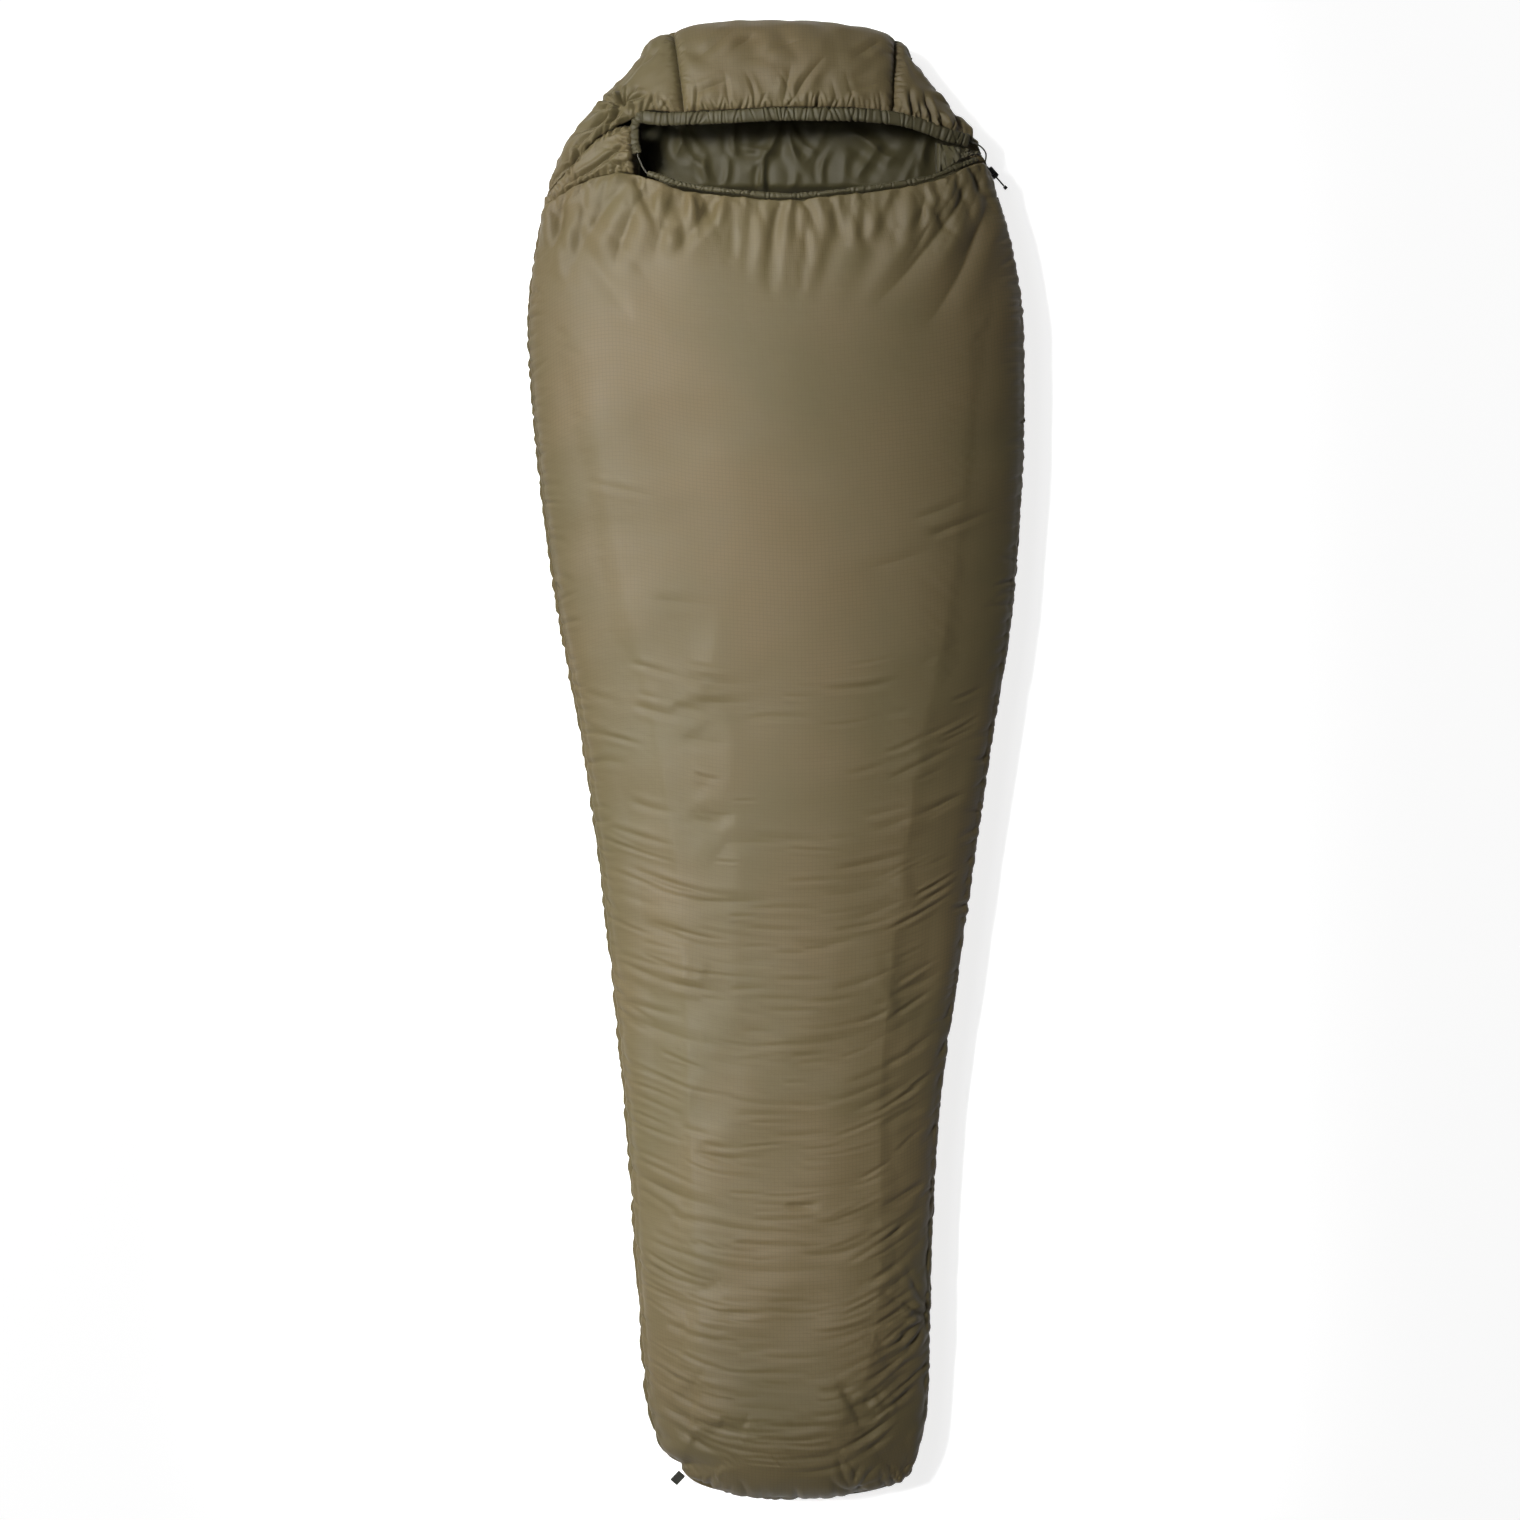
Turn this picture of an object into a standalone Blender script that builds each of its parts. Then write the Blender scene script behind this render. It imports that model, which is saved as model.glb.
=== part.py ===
"""A padded mummy sleeping bag, lying on its back with its side zip done up.

Metres, +Z up, +Y towards the hood, +X towards the zip. The floor is z = 0 and the origin is the
middle of the bag's footprint. Each layer of each quilted panel is a solid of its own: outer
shell, synthetic fill and lining, nested with a small gap between them.
"""

import math

import bmesh
import bpy
import numpy as np
from mathutils import Matrix, Vector

# The bag's outline: each row is a place along the bag, then its left and right edge.
SIDE_STATIONS = (
    (-1.048, -0.140, 0.199),
    (-1.025, -0.167, 0.208),
    (-1.000, -0.179, 0.214),
    (-0.950, -0.192, 0.222),
    (-0.800, -0.204, 0.225),
    (-0.550, -0.221, 0.236),
    (-0.300, -0.245, 0.269),
    (0.000, -0.283, 0.312),
    (0.250, -0.328, 0.350),
    (0.500, -0.358, 0.364),
    (0.650, -0.367, 0.362),
    (0.760, -0.356, 0.345),
    (0.840, -0.345, 0.330),
    (0.900, -0.324, 0.311),
    (0.970, -0.274, 0.260),
    (1.010, -0.233, 0.227),
    (1.045, -0.205, 0.202),
)
FOOT_CORNER_Y = -1.048
CROWN_CORNER_Y = 1.045
FOOT_DEPTH = 0.052
CROWN_DEPTH = 0.055
END_ROUNDNESS = 2.4

# Height above the side seam at places along the bag, and how the section falls to the seam.
SEAM_Z = 0.058
LOFT_STATIONS = (
    (-1.10, 0.072),
    (-0.80, 0.077),
    (-0.30, 0.077),
    (0.30, 0.083),
    (0.65, 0.086),
    (0.85, 0.080),
    (1.10, 0.064),
)
TOP_ROUNDNESS = 2.3
BACK_ROUNDNESS = 3.0
FLOOR_OVERLAP = 0.004
FOOT_FALL = 0.12
CROWN_FALL = 0.09

# Layers of the quilted wall, from outside in.
SHELL = 0.0014
FILL = 0.020
LINING = 0.0014
LAYER_GAP = 0.0008
FILL_INSET = SHELL + LAYER_GAP
LINING_INSET = FILL_INSET + FILL + LAYER_GAP
SEAM_GAP = 0.0004
CROWN_SEAM_HALF = 0.0006

# Seams in plan: (x, y) points across the bag.
CHEST_EDGE = (
    (-0.360, 0.811), (-0.338, 0.826), (-0.300, 0.848), (-0.262, 0.862), (-0.226, 0.866), (-0.192, 0.858),
    (-0.131, 0.838), (-0.060, 0.829), (0.012, 0.823), (0.107, 0.832), (0.202, 0.846),
    (0.244, 0.858), (0.272, 0.872), (0.300, 0.884), (0.330, 0.888),
)
LIP_EDGE = (
    (-0.360, 0.822), (-0.344, 0.840), (-0.300, 0.888), (-0.262, 0.924), (-0.231, 0.938), (-0.204, 0.939),
    (-0.164, 0.935), (-0.080, 0.937), (0.007, 0.941), (0.107, 0.941), (0.187, 0.935),
    (0.225, 0.924), (0.262, 0.912), (0.300, 0.906), (0.330, 0.904),
)
NECK_Y = 0.840
CROWN_SEAM_LEFT = ((0.90, -0.134), (0.95, -0.138), (1.079, -0.156))
CROWN_SEAM_RIGHT = ((0.90, 0.172), (0.95, 0.173), (1.079, 0.180))
GUSSET_END_X = -0.226
FOLD_START_X = 0.266
FOLD_INSET = 0.003
FOLD_THICKNESS = 0.008

# The drawcord channels.
BAND_WIDTH = 0.0200
BAND_THICKNESS = 0.0070
BAND_EASE = 0.005
CHANNEL_EASE = 0.0025
NECK_EASE = 0.005
BAND_START_X = -0.200
BAND_END_X = 0.284
CHEST_CHANNEL_RADIUS = 0.0045
BORE_RADIUS = 0.0024
CORD_RADIUS = 0.00125

# The zip follows two arcs: the upper one bulges out, the lower one bends in.
ZIP_UPPER_RADIUS = 2.0
ZIP_UPPER_CENTRE = (-1.6435, 0.460)
ZIP_LOWER_RADIUS = 5.0
ZIP_JOIN_Y = 0.050
ZIP_TOP_Y = 0.860
ZIP_BOTTOM_Y = -0.830
SLOT_HALF = 0.0070
SLOT_BOTTOM_Y = -0.852
SLOT_TOP_Y = 0.885
SLOT_RAMP = 0.060
SLOT_REACH = 0.45
TAPE_HALF = 0.0004
TAPE_FOLD = 0.0035
COIL_HALF = 0.0012
COIL_LOW = 0.0008
COIL_HIGH = 0.0032
SNAG_TAPE = (-0.0064, -0.0054)
DRAFT_TUBE_OUT = -0.0320
DRAFT_TUBE_WIDE = 0.0100
DRAFT_TUBE_TALL = 0.0140
DRAFT_TUBE_COVER = 0.0014
DRAFT_TUBE_CORE_GAP = 0.0008
TUBE_SIDES = 8
SLIDER_LENGTH = 0.0125
TOP_SLIDER_Y = 0.842
BOTTOM_SLIDER_Y = -0.815
PULL_LENGTH = 0.026

# The cord lock, lying on the floor beside the hood.
LOCK_CENTRE = (0.3245, 0.8825)
LOCK_DIRECTION = (0.66, -0.75)
LOCK_CORD_Z = 0.0072
LOCK_LENGTH = 0.018
LOCK_WIDTH = 0.0100
LOCK_LOW = 0.0004
LOCK_HIGH = 0.0124
CORD_TAIL_ROUTE = (
    (0.2855, 0.9177, 0.0835), (0.2930, 0.9160, 0.0820), (0.3005, 0.9130, 0.0775), (0.3065, 0.9095, 0.0700),
    (0.3105, 0.9060, 0.0600), (0.3125, 0.9030, 0.0480), (0.3130, 0.9005, 0.0340), (0.3130, 0.8985, 0.0210),
    (0.3132, 0.8960, 0.0125), (0.3140, 0.8945, 0.0085), (0.3155, 0.8927, 0.0073), (0.3170, 0.8910, 0.0072),
    (0.3245, 0.8825, 0.0072), (0.3420, 0.8626, 0.0072),
)

# The foot loop of webbing.
LOOP_ROOT = (-0.1418, -1.0640)
LOOP_ALONG = (0.76, -0.65)
LOOP_WIDTH = 0.013
LOOP_LENGTH = 0.020
LOOP_DROOP = math.radians(25)
WEBBING = 0.0012

OLIVE = (0.235, 0.190, 0.110)
LINING_OLIVE = (0.064, 0.054, 0.028)
CHANNEL_OLIVE = (0.080, 0.070, 0.040)
FILL_WHITE = (0.80, 0.80, 0.78)
CORD_OLIVE = (0.120, 0.110, 0.075)
BLACK = (0.012, 0.012, 0.012)
SPRING_STEEL = (0.55, 0.55, 0.56)


# The zip's sliders and pulls, in each slider's own axes.
PLATE_OUT = 0.0022
PLATE_THICK = 0.0012
SLIDER_TALL = 0.0100
FLANGE_OUT = 0.0015
FLANGE = 0.0010
POST = (2 * PLATE_OUT, 0.0036, 0.0009)
EAR = (0.0052, 0.0032, 0.0010)
EAR_OUT = 0.0046
EAR_UP = 0.0033
PIN_OUT = 0.0058
PIN_RADIUS = 0.0007
PIN_LENGTH = 0.0066
PIN_PLAY = 0.0003
EYE_RADIUS = 0.0018
PULL_WIDE = 0.0044
PULL_THICK = 0.0014
STOP_SIZE = (0.0036, 0.0045, 0.0024)
STOP_UP = 0.0020
BOTTOM_STOP_SIZE = (0.0040, 0.0060, 0.0066)

# The cord lock's button and spring, and the bead on the cord's end.
BUTTON_LOW = 0.0040
BUTTON_HIGH = 0.0154
BUTTON_SIZE = (0.0052, 0.0056)
BUTTON_EYE = 0.0052
BUTTON_EYE_Z = 0.0082
BUTTON_PLAY = 0.0003
SPRING_LOW = 0.0012
SPRING_HIGH = 0.0038
SPRING_RADIUS = 0.0019
SPRING_WIRE = 0.0002
SPRING_TURNS = 2.25
BEAD_RADIUS = 0.0028
BEAD_LENGTH = 0.0050
BEAD_GAP = 0.0004


def clear_scene():
    for thing in list(bpy.data.objects):
        bpy.data.objects.remove(thing, do_unlink=True)


def material(name, colour, roughness=0.8, metallic=0.0):
    made = bpy.data.materials.new(name)
    made.use_nodes = True
    shader = made.node_tree.nodes["Principled BSDF"]
    shader.inputs["Base Color"].default_value = (*colour, 1.0)
    shader.inputs["Roughness"].default_value = roughness
    shader.inputs["Metallic"].default_value = metallic
    return made


def add_mesh(name, points, faces, finish, smooth_angle=50):
    """One closed mesh object; finish is (colour, roughness, metallic)."""
    mesh = bpy.data.meshes.new(name)
    mesh.from_pydata([tuple(p) for p in points], [], faces)
    mesh.update()
    mesh.shade_smooth()
    mesh.set_sharp_from_angle(angle=math.radians(smooth_angle))
    thing = bpy.data.objects.new(name, mesh)
    bpy.context.scene.collection.objects.link(thing)
    mesh.materials.append(material(name, *finish))
    return thing


def face_outwards(mesh):
    shape = bmesh.new()
    shape.from_mesh(mesh)
    bmesh.ops.recalc_face_normals(shape, faces=shape.faces)
    shape.to_mesh(mesh)
    shape.free()


def through(stations):
    """A smooth function through (place, value) points: a cubic Hermite with limited slopes."""
    at = np.array([s[0] for s in stations], float)
    value = np.array([s[1] for s in stations], float)
    step = np.diff(at)
    rise = np.diff(value) / step
    slope = np.empty(len(at))
    slope[0] = rise[0]
    slope[-1] = rise[-1]
    same_way = rise[:-1] * rise[1:] > 0
    mean = 2 * rise[:-1] * rise[1:] / np.where(same_way, rise[:-1] + rise[1:], 1)
    slope[1:-1] = np.where(same_way, mean, 0)

    def read(place):
        place = np.clip(np.asarray(place, float), at[0], at[-1])
        i = np.clip(np.searchsorted(at, place, side="right") - 1, 0, len(step) - 1)
        t = (place - at[i]) / step[i]
        from_left = value[i] * (1 + 2 * t) * (1 - t) ** 2 + slope[i] * step[i] * t * (1 - t) ** 2
        from_right = value[i + 1] * t**2 * (3 - 2 * t) - slope[i + 1] * step[i] * t**2 * (1 - t)
        return from_left + from_right

    return read


left_edge = through([(y, left) for y, left, _ in SIDE_STATIONS])
right_edge = through([(y, right) for y, _, right in SIDE_STATIONS])
loft = through(LOFT_STATIONS)
chest_edge = through(CHEST_EDGE)
lip_edge = through(LIP_EDGE)
crown_seam_left = through(CROWN_SEAM_LEFT)
crown_seam_right = through(CROWN_SEAM_RIGHT)


def smooth_step(t):
    t = np.clip(t, 0.0, 1.0)
    return t * t * (3 - 2 * t)


def middle(y):
    return (left_edge(y) + right_edge(y)) / 2


def half_width(y, inset=0.0):
    return (right_edge(y) - left_edge(y)) / 2 - inset


def across(x, y, inset=0.0):
    """Where x lies across the bag at y: -1 on the left edge, 1 on the right one."""
    return (x - middle(y)) / half_width(y, inset)


def round_end(p, depth):
    return depth * np.clip(1 - np.abs(p) ** END_ROUNDNESS, 0, 1) ** (1 / END_ROUNDNESS)


def foot_end(p, inset=0.0):
    return FOOT_CORNER_Y - round_end(p, FOOT_DEPTH) + inset


def crown_end(p, inset=0.0):
    return CROWN_CORNER_Y + round_end(p, CROWN_DEPTH) - inset


def fullness(p, y, inset, roundness):
    """0 on the outline and 1 where the bag is at its full height."""
    to_foot = np.clip((y - foot_end(p, inset)) / FOOT_FALL, 0, 1)
    to_crown = np.clip((crown_end(p, inset) - y) / CROWN_FALL, 0, 1)
    share = np.clip(1 - np.abs(p) ** roundness, 0, 1)
    share = share * (1 - (1 - to_foot) ** roundness) * (1 - (1 - to_crown) ** roundness)
    return share ** (1 / roundness)


def slot_lift(p, y):
    """How far each panel's edge stands off the seam plane to leave the zip its slot."""
    along = smooth_step((y - SLOT_BOTTOM_Y + SLOT_RAMP) / SLOT_RAMP)
    along = along * smooth_step((SLOT_TOP_Y + SLOT_RAMP - y) / SLOT_RAMP)
    return SLOT_HALF * along * smooth_step((p - 1 + SLOT_REACH) / SLOT_REACH)


def top_height(p, y, inset=0.0):
    rise = (loft(y) - inset) * fullness(p, y, inset, TOP_ROUNDNESS)
    return SEAM_Z + SEAM_GAP / 2 + rise + slot_lift(p, y)


def back_height(p, y, inset=0.0):
    drop = (SEAM_Z + FLOOR_OVERLAP - inset) * fullness(p, y, inset, BACK_ROUNDNESS)
    return np.maximum(inset, SEAM_Z - SEAM_GAP / 2 - drop - slot_lift(p, y))


def y_on(line, p, inset, low=0.78, high=1.02):
    """Where the seam line y = line(x) crosses the place p across the bag."""
    low = np.full(np.shape(p), low)
    high = np.full(np.shape(p), high)
    for _ in range(40):
        mid = (low + high) / 2
        below = mid < line(middle(mid) + p * half_width(mid, inset))
        low = np.where(below, mid, low)
        high = np.where(below, high, mid)
    return (low + high) / 2


def spread(count):
    """Columns across the whole bag, closer together towards its edges."""
    return -np.cos(np.linspace(0, math.pi, count + 1))


def layer_points(height, inset, columns, rows, left, right, low, high):
    """A grid of points on one surface of a panel, as an array [row, column, xyz]."""
    u, v = np.meshgrid(columns, rows)
    y = np.full(u.shape, 0.0)
    for _ in range(12):
        start = left(y, inset)
        p = start + (right(y, inset) - start) * u
        bottom = low(p, inset)
        y = bottom + (high(p, inset) - bottom) * v
    x = middle(y) + p * half_width(y, inset)
    return np.stack([x, y, height(p, y, inset)], axis=-1)


def closed_layer(name, outer, inner, finish, faces_up, turn_row=None):
    """The solid between two grids of points, closed round their rim.

    The diagonals slant away from the nearer corner, so that nested layers' facets match. turn_row is
    the row where they change over: the middle one, unless the layer is only part of a panel.
    """
    rows, columns, _ = outer.shape
    if turn_row is None:
        turn_row = rows / 2
    points = np.concatenate([outer.reshape(-1, 3), inner.reshape(-1, 3)])
    under = rows * columns

    def at(i, j):
        return i * columns + j

    faces = []
    for i in range(rows - 1):
        for j in range(columns - 1):
            a, b, c, d = at(i, j), at(i, j + 1), at(i + 1, j + 1), at(i + 1, j)
            from_corner = (i < turn_row) == (j < columns / 2)
            for triangle in ((a, b, c), (a, c, d)) if from_corner else ((a, b, d), (b, c, d)):
                faces.append(list(triangle))
                faces.append([under + k for k in reversed(triangle)])
    rim = [at(0, j) for j in range(columns)]
    rim += [at(i, columns - 1) for i in range(1, rows)]
    rim += [at(rows - 1, j) for j in range(columns - 2, -1, -1)]
    rim += [at(i, 0) for i in range(rows - 2, 0, -1)]
    for a, b in zip(rim, rim[1:] + rim[:1]):
        faces.append([b, a, under + a])
        faces.append([b, under + a, under + b])
    if not faces_up:
        faces = [face[::-1] for face in faces]
    return add_mesh(name, points, faces, finish)


def whole_left(y, inset):
    return np.full(np.shape(y), -1.0)


def whole_right(y, inset):
    return np.full(np.shape(y), 1.0)


def line_at_x(x_of, shift):
    """The panel edge that runs along the bag at x = x_of(y), moved sideways by shift."""
    return lambda y, inset: across(x_of(y) + shift, y)


def band_room(p, inset):
    """How far the hood panels stop above the lip, to leave room for the channel."""
    y = y_on(lip_edge, p, inset)
    x = middle(y) + p * half_width(y, inset)
    return (BAND_WIDTH + BAND_EASE) * smooth_step((x + 0.240) / 0.040) * smooth_step((0.318 - x) / 0.026)


def above_lip(p, inset):
    return y_on(lip_edge, p, inset) + SEAM_GAP + band_room(p, inset)


def below_lip(p, inset):
    return y_on(lip_edge, p, inset) - NECK_EASE


def below_chest_edge(p, inset):
    return y_on(chest_edge, p, inset) - SEAM_GAP


def above_chest_edge(p, inset):
    return y_on(chest_edge, p, inset) + NECK_EASE


def above_channel(p, inset):
    return y_on(chest_edge, p, inset) + 2 * CHEST_CHANNEL_RADIUS + NECK_EASE


def neck_line(shift):
    return lambda p, inset: np.full(np.shape(p), NECK_Y + shift)


LONG_ROWS = (
    0, 0.003, 0.010, 0.022, 0.042, 0.070, 0.101, 0.17, 0.27, 0.38, 0.49, 0.60, 0.70, 0.79, 0.87, 0.94, 1,
)
# The rows of LONG_ROWS that each batt runs between, and the gap at its end as a share of the length.
BATTS = {"foot": (0, 8), "leg": (8, 11), "torso": (11, 16)}
BATT_GAP_SHARE = 0.0012
HOOD_ROWS = (0, 0.2, 0.45, 0.65, 0.80, 0.92, 0.98, 1)
SHORT_ROWS = (0, 0.35, 0.7, 1)
PANEL_FINISH = {
    "shell": (OLIVE, 0.55),
    "fill": (FILL_WHITE, 0.95),
    "lining": (LINING_OLIVE, 0.75),
}
LAYERS = {
    "shell": (0.0, SHELL),
    "fill": (FILL_INSET, FILL),
    "lining": (LINING_INSET, LINING),
}


def quilted_panel(panel, layer, height, columns, rows, left, right, low, high, turn_row=None):
    inset, thickness = LAYERS[layer]
    edges = (columns, rows, left, right, low, high)
    outer = layer_points(height, inset, *edges)
    inner = layer_points(height, inset + thickness, *edges)
    return closed_layer(f"{panel}_{layer}", outer, inner, PANEL_FINISH[layer], height is top_height, turn_row)


def body_panels():
    """The top and the back, each one shell and one lining round three batts laid end to end."""
    columns = (spread(20) + 1) / 2
    for panel, height, high in (
        ("chest", top_height, below_chest_edge),
        ("back", back_height, neck_line(-SEAM_GAP / 2)),
    ):
        ends = (whole_left, whole_right, foot_end, high)
        for layer in ("shell", "lining"):
            quilted_panel(panel, layer, height, columns, LONG_ROWS, *ends)
        for batt, (first, last) in BATTS.items():
            rows = list(LONG_ROWS[first : last + 1])
            if first > 0:
                rows[0] += BATT_GAP_SHARE
            if last < len(LONG_ROWS) - 1:
                rows[-1] -= BATT_GAP_SHARE
            turn_row = len(LONG_ROWS) / 2 - first
            quilted_panel(f"{panel}_{batt}", "fill", height, columns, rows, *ends, turn_row)


def hood_panels():
    side = (0, 0.05, 0.15, 0.28, 0.42, 0.57, 0.72, 0.86, 1)
    for layer in LAYERS:
        quilted_panel(
            "hood_crown", layer, top_height, np.linspace(0, 1, 7), HOOD_ROWS,
            line_at_x(crown_seam_left, CROWN_SEAM_HALF), line_at_x(crown_seam_right, -CROWN_SEAM_HALF),
            above_lip, crown_end,
        )
        quilted_panel(
            "hood_left", layer, top_height, np.array(side), HOOD_ROWS,
            whole_left, line_at_x(crown_seam_left, -CROWN_SEAM_HALF), above_lip, crown_end,
        )
        quilted_panel(
            "hood_right", layer, top_height, 1 - np.array(side)[::-1], HOOD_ROWS,
            line_at_x(crown_seam_right, CROWN_SEAM_HALF), whole_right, above_lip, crown_end,
        )
        columns = (spread(14) + 1) / 2
        quilted_panel(
            "hood_back", layer, back_height, columns, HOOD_ROWS, whole_left, whole_right,
            neck_line(SEAM_GAP / 2), crown_end,
        )


def neck_pieces():
    """The gusset that fills the left corner of the face opening, and the fold on the right."""

    def gusset_end(y):
        return np.full(np.shape(y), GUSSET_END_X)

    def fold_start(y):
        return np.full(np.shape(y), FOLD_START_X)

    for layer in LAYERS:
        quilted_panel(
            "neck_gusset", layer, top_height, np.array((0, 0.06, 0.18, 0.32, 0.5, 0.75, 1)), SHORT_ROWS,
            whole_left, line_at_x(gusset_end, 0), above_chest_edge, below_lip,
        )
    fold_edges = (
        np.array((0, 0.5, 0.8, 0.94, 1)), SHORT_ROWS,
        line_at_x(fold_start, 0), whole_right, above_channel, below_lip,
    )
    outer = layer_points(top_height, FOLD_INSET, *fold_edges)
    inner = layer_points(top_height, FOLD_INSET + FOLD_THICKNESS, *fold_edges)
    closed_layer("neck_fold", outer, inner, (LINING_OLIVE, 0.75), True)


def on_top(x, y, drop):
    """A point this far below the bag's upper surface."""
    p = across(x, y)
    return Vector((x, y, float(top_height(p, y)) - drop))


def smooth_route(route, count):
    """Points evenly spaced along a smooth curve through the route's own points."""
    points = np.array(route, float)
    run = np.concatenate([[0], np.cumsum(np.linalg.norm(np.diff(points, axis=0), axis=1))])
    lines = [through(list(zip(run, points[:, k]))) for k in range(3)]
    at = np.linspace(0, run[-1], count)
    return [Vector([float(line(s)) for line in lines]) for s in at]


def band_path():
    """The middle of the hood's channel, from its right mouth, along the lip and round the left corner."""
    steps = np.linspace(BAND_END_X, BAND_START_X, 15)
    lip = [on_top(x, float(lip_edge(x)) + BAND_WIDTH / 2 + SEAM_GAP, 0.0042) for x in steps]
    corner = [on_top(x, y, 0.0050) for x, y in ((-0.2100, 0.934), (-0.2100, 0.915), (-0.2060, 0.895))]
    return lip + corner


def chest_channel_path():
    steps = np.concatenate([[-0.1905, -0.180], np.linspace(-0.150, 0.296, 14)])
    reach = CHEST_CHANNEL_RADIUS + CHANNEL_EASE
    out = []
    for x in steps:
        slope = (float(chest_edge(x + 0.004)) - float(chest_edge(x - 0.004))) / 0.008
        lift = reach * math.hypot(1, slope)
        out.append(on_top(x, float(chest_edge(x)) + lift, CHEST_CHANNEL_RADIUS + 0.001))
    return out


def frames_along(path):
    """(point, sideways, up) at each point: sideways lies across the path, level with the floor."""
    out = []
    for i, point in enumerate(path):
        ahead = path[min(i + 1, len(path) - 1)] - path[max(i - 1, 0)]
        side = ahead.cross(Vector((0, 0, 1))).normalized()
        out.append((point, side, side.cross(ahead).normalized()))
    return out


def channel(name, path, half_widths, half_height, finish):
    """A fabric sleeve round a bore, open at both ends."""
    sides = 8
    outer = []
    inner = []
    for (point, side, up), wide in zip(frames_along(path), half_widths):
        for k in range(sides):
            turn = 2 * math.pi * (k + 0.5) / sides
            c, s = math.cos(turn), math.sin(turn)
            outer.append(point + side * wide * math.copysign(abs(c) ** 0.7, c) + up * half_height * s * 1.08)
            inner.append(point + side * BORE_RADIUS * c + up * BORE_RADIUS * s)
    count = len(path)
    base = count * sides
    faces = []
    for i in range(count - 1):
        for k in range(sides):
            a, b = i * sides + k, i * sides + (k + 1) % sides
            faces.append([a, a + sides, b + sides, b])
            faces.append([base + b, base + b + sides, base + a + sides, base + a])
    for k in range(sides):
        a, b = k, (k + 1) % sides
        faces.append([a, b, base + b, base + a])
        a, b = a + base - sides, b + base - sides
        faces.append([b, a, base + a, base + b])
    made = add_mesh(name, outer + inner, faces, finish)
    face_outwards(made.data)
    return made


def cord(name, points, radius, colour, resolution=2):
    curve = bpy.data.curves.new(name, "CURVE")
    curve.dimensions = "3D"
    curve.bevel_depth = radius
    curve.bevel_resolution = resolution
    curve.use_fill_caps = True
    line = curve.splines.new("POLY")
    line.points.add(len(points) - 1)
    for spot, point in zip(line.points, points):
        spot.co = (*point, 1.0)
    thing = bpy.data.objects.new(name, curve)
    bpy.context.scene.collection.objects.link(thing)
    curve.materials.append(material(name, colour, 0.6))
    return thing


def drawcord_parts():
    band = band_path()
    chest = chest_channel_path()
    lip_count = 15
    widths = [BAND_WIDTH / 2 - 0.001] * lip_count + [0.0065] * (len(band) - lip_count)
    cloth = (CHANNEL_OLIVE, 0.7)
    channel("hood_channel", band, widths, BAND_THICKNESS / 2, cloth)
    channel("chest_channel", chest, [CHEST_CHANNEL_RADIUS] * len(chest), CHEST_CHANNEL_RADIUS, cloth)
    cord("drawcord", band + chest, CORD_RADIUS, CORD_OLIVE)
    cord("drawcord_tail", smooth_route(CORD_TAIL_ROUTE, 30), CORD_RADIUS, CORD_OLIVE)


def zip_lower_centre():
    """The far centre of the lower arc, which meets the upper one smoothly at ZIP_JOIN_Y."""
    cx, cy = ZIP_UPPER_CENTRE
    join = math.asin((ZIP_JOIN_Y - cy) / ZIP_UPPER_RADIUS)
    reach = ZIP_UPPER_RADIUS + ZIP_LOWER_RADIUS
    return Vector((cx + reach * math.cos(join), cy + reach * math.sin(join), SEAM_Z))


def zip_frame(y, out=0.0):
    """The point on the zip's line at y, moved outwards by out, and the outward direction there."""
    if y >= ZIP_JOIN_Y:
        cx, cy = ZIP_UPPER_CENTRE
        turn = math.asin((y - cy) / ZIP_UPPER_RADIUS)
        way = Vector((math.cos(turn), math.sin(turn), 0))
        start = Vector((cx, cy, SEAM_Z)) + way * ZIP_UPPER_RADIUS
    else:
        far = zip_lower_centre()
        turn = math.asin((y - far.y) / ZIP_LOWER_RADIUS)
        way = Vector((math.cos(turn), -math.sin(turn), 0))
        start = far - way * ZIP_LOWER_RADIUS
    return start + way * out, way


def zip_stations(low, high):
    below = np.linspace(low, ZIP_JOIN_Y, 13)
    return np.concatenate([below, np.linspace(ZIP_JOIN_Y, high, 22)[1:]])


def strip(name, low, high, section, finish):
    """A strip swept along the zip's line; section is (outward, up) corners in order."""
    points = []
    stations = zip_stations(low, high)
    for y in stations:
        for out, up in section:
            point, _ = zip_frame(float(y), out)
            points.append(point + Vector((0, 0, up)))
    sides = len(section)
    faces = []
    for i in range(len(stations) - 1):
        for k in range(sides):
            a, b = i * sides + k, i * sides + (k + 1) % sides
            faces.append([a, b, b + sides, a + sides])
    last = (len(stations) - 1) * sides
    faces.append(list(range(sides))[::-1])
    faces.append([last + k for k in range(sides)])
    made = add_mesh(name, points, faces, finish)
    face_outwards(made.data)
    return made


def rectangle(out_low, out_high, up_low, up_high):
    return ((out_low, up_low), (out_high, up_low), (out_high, up_high), (out_low, up_high))


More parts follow.
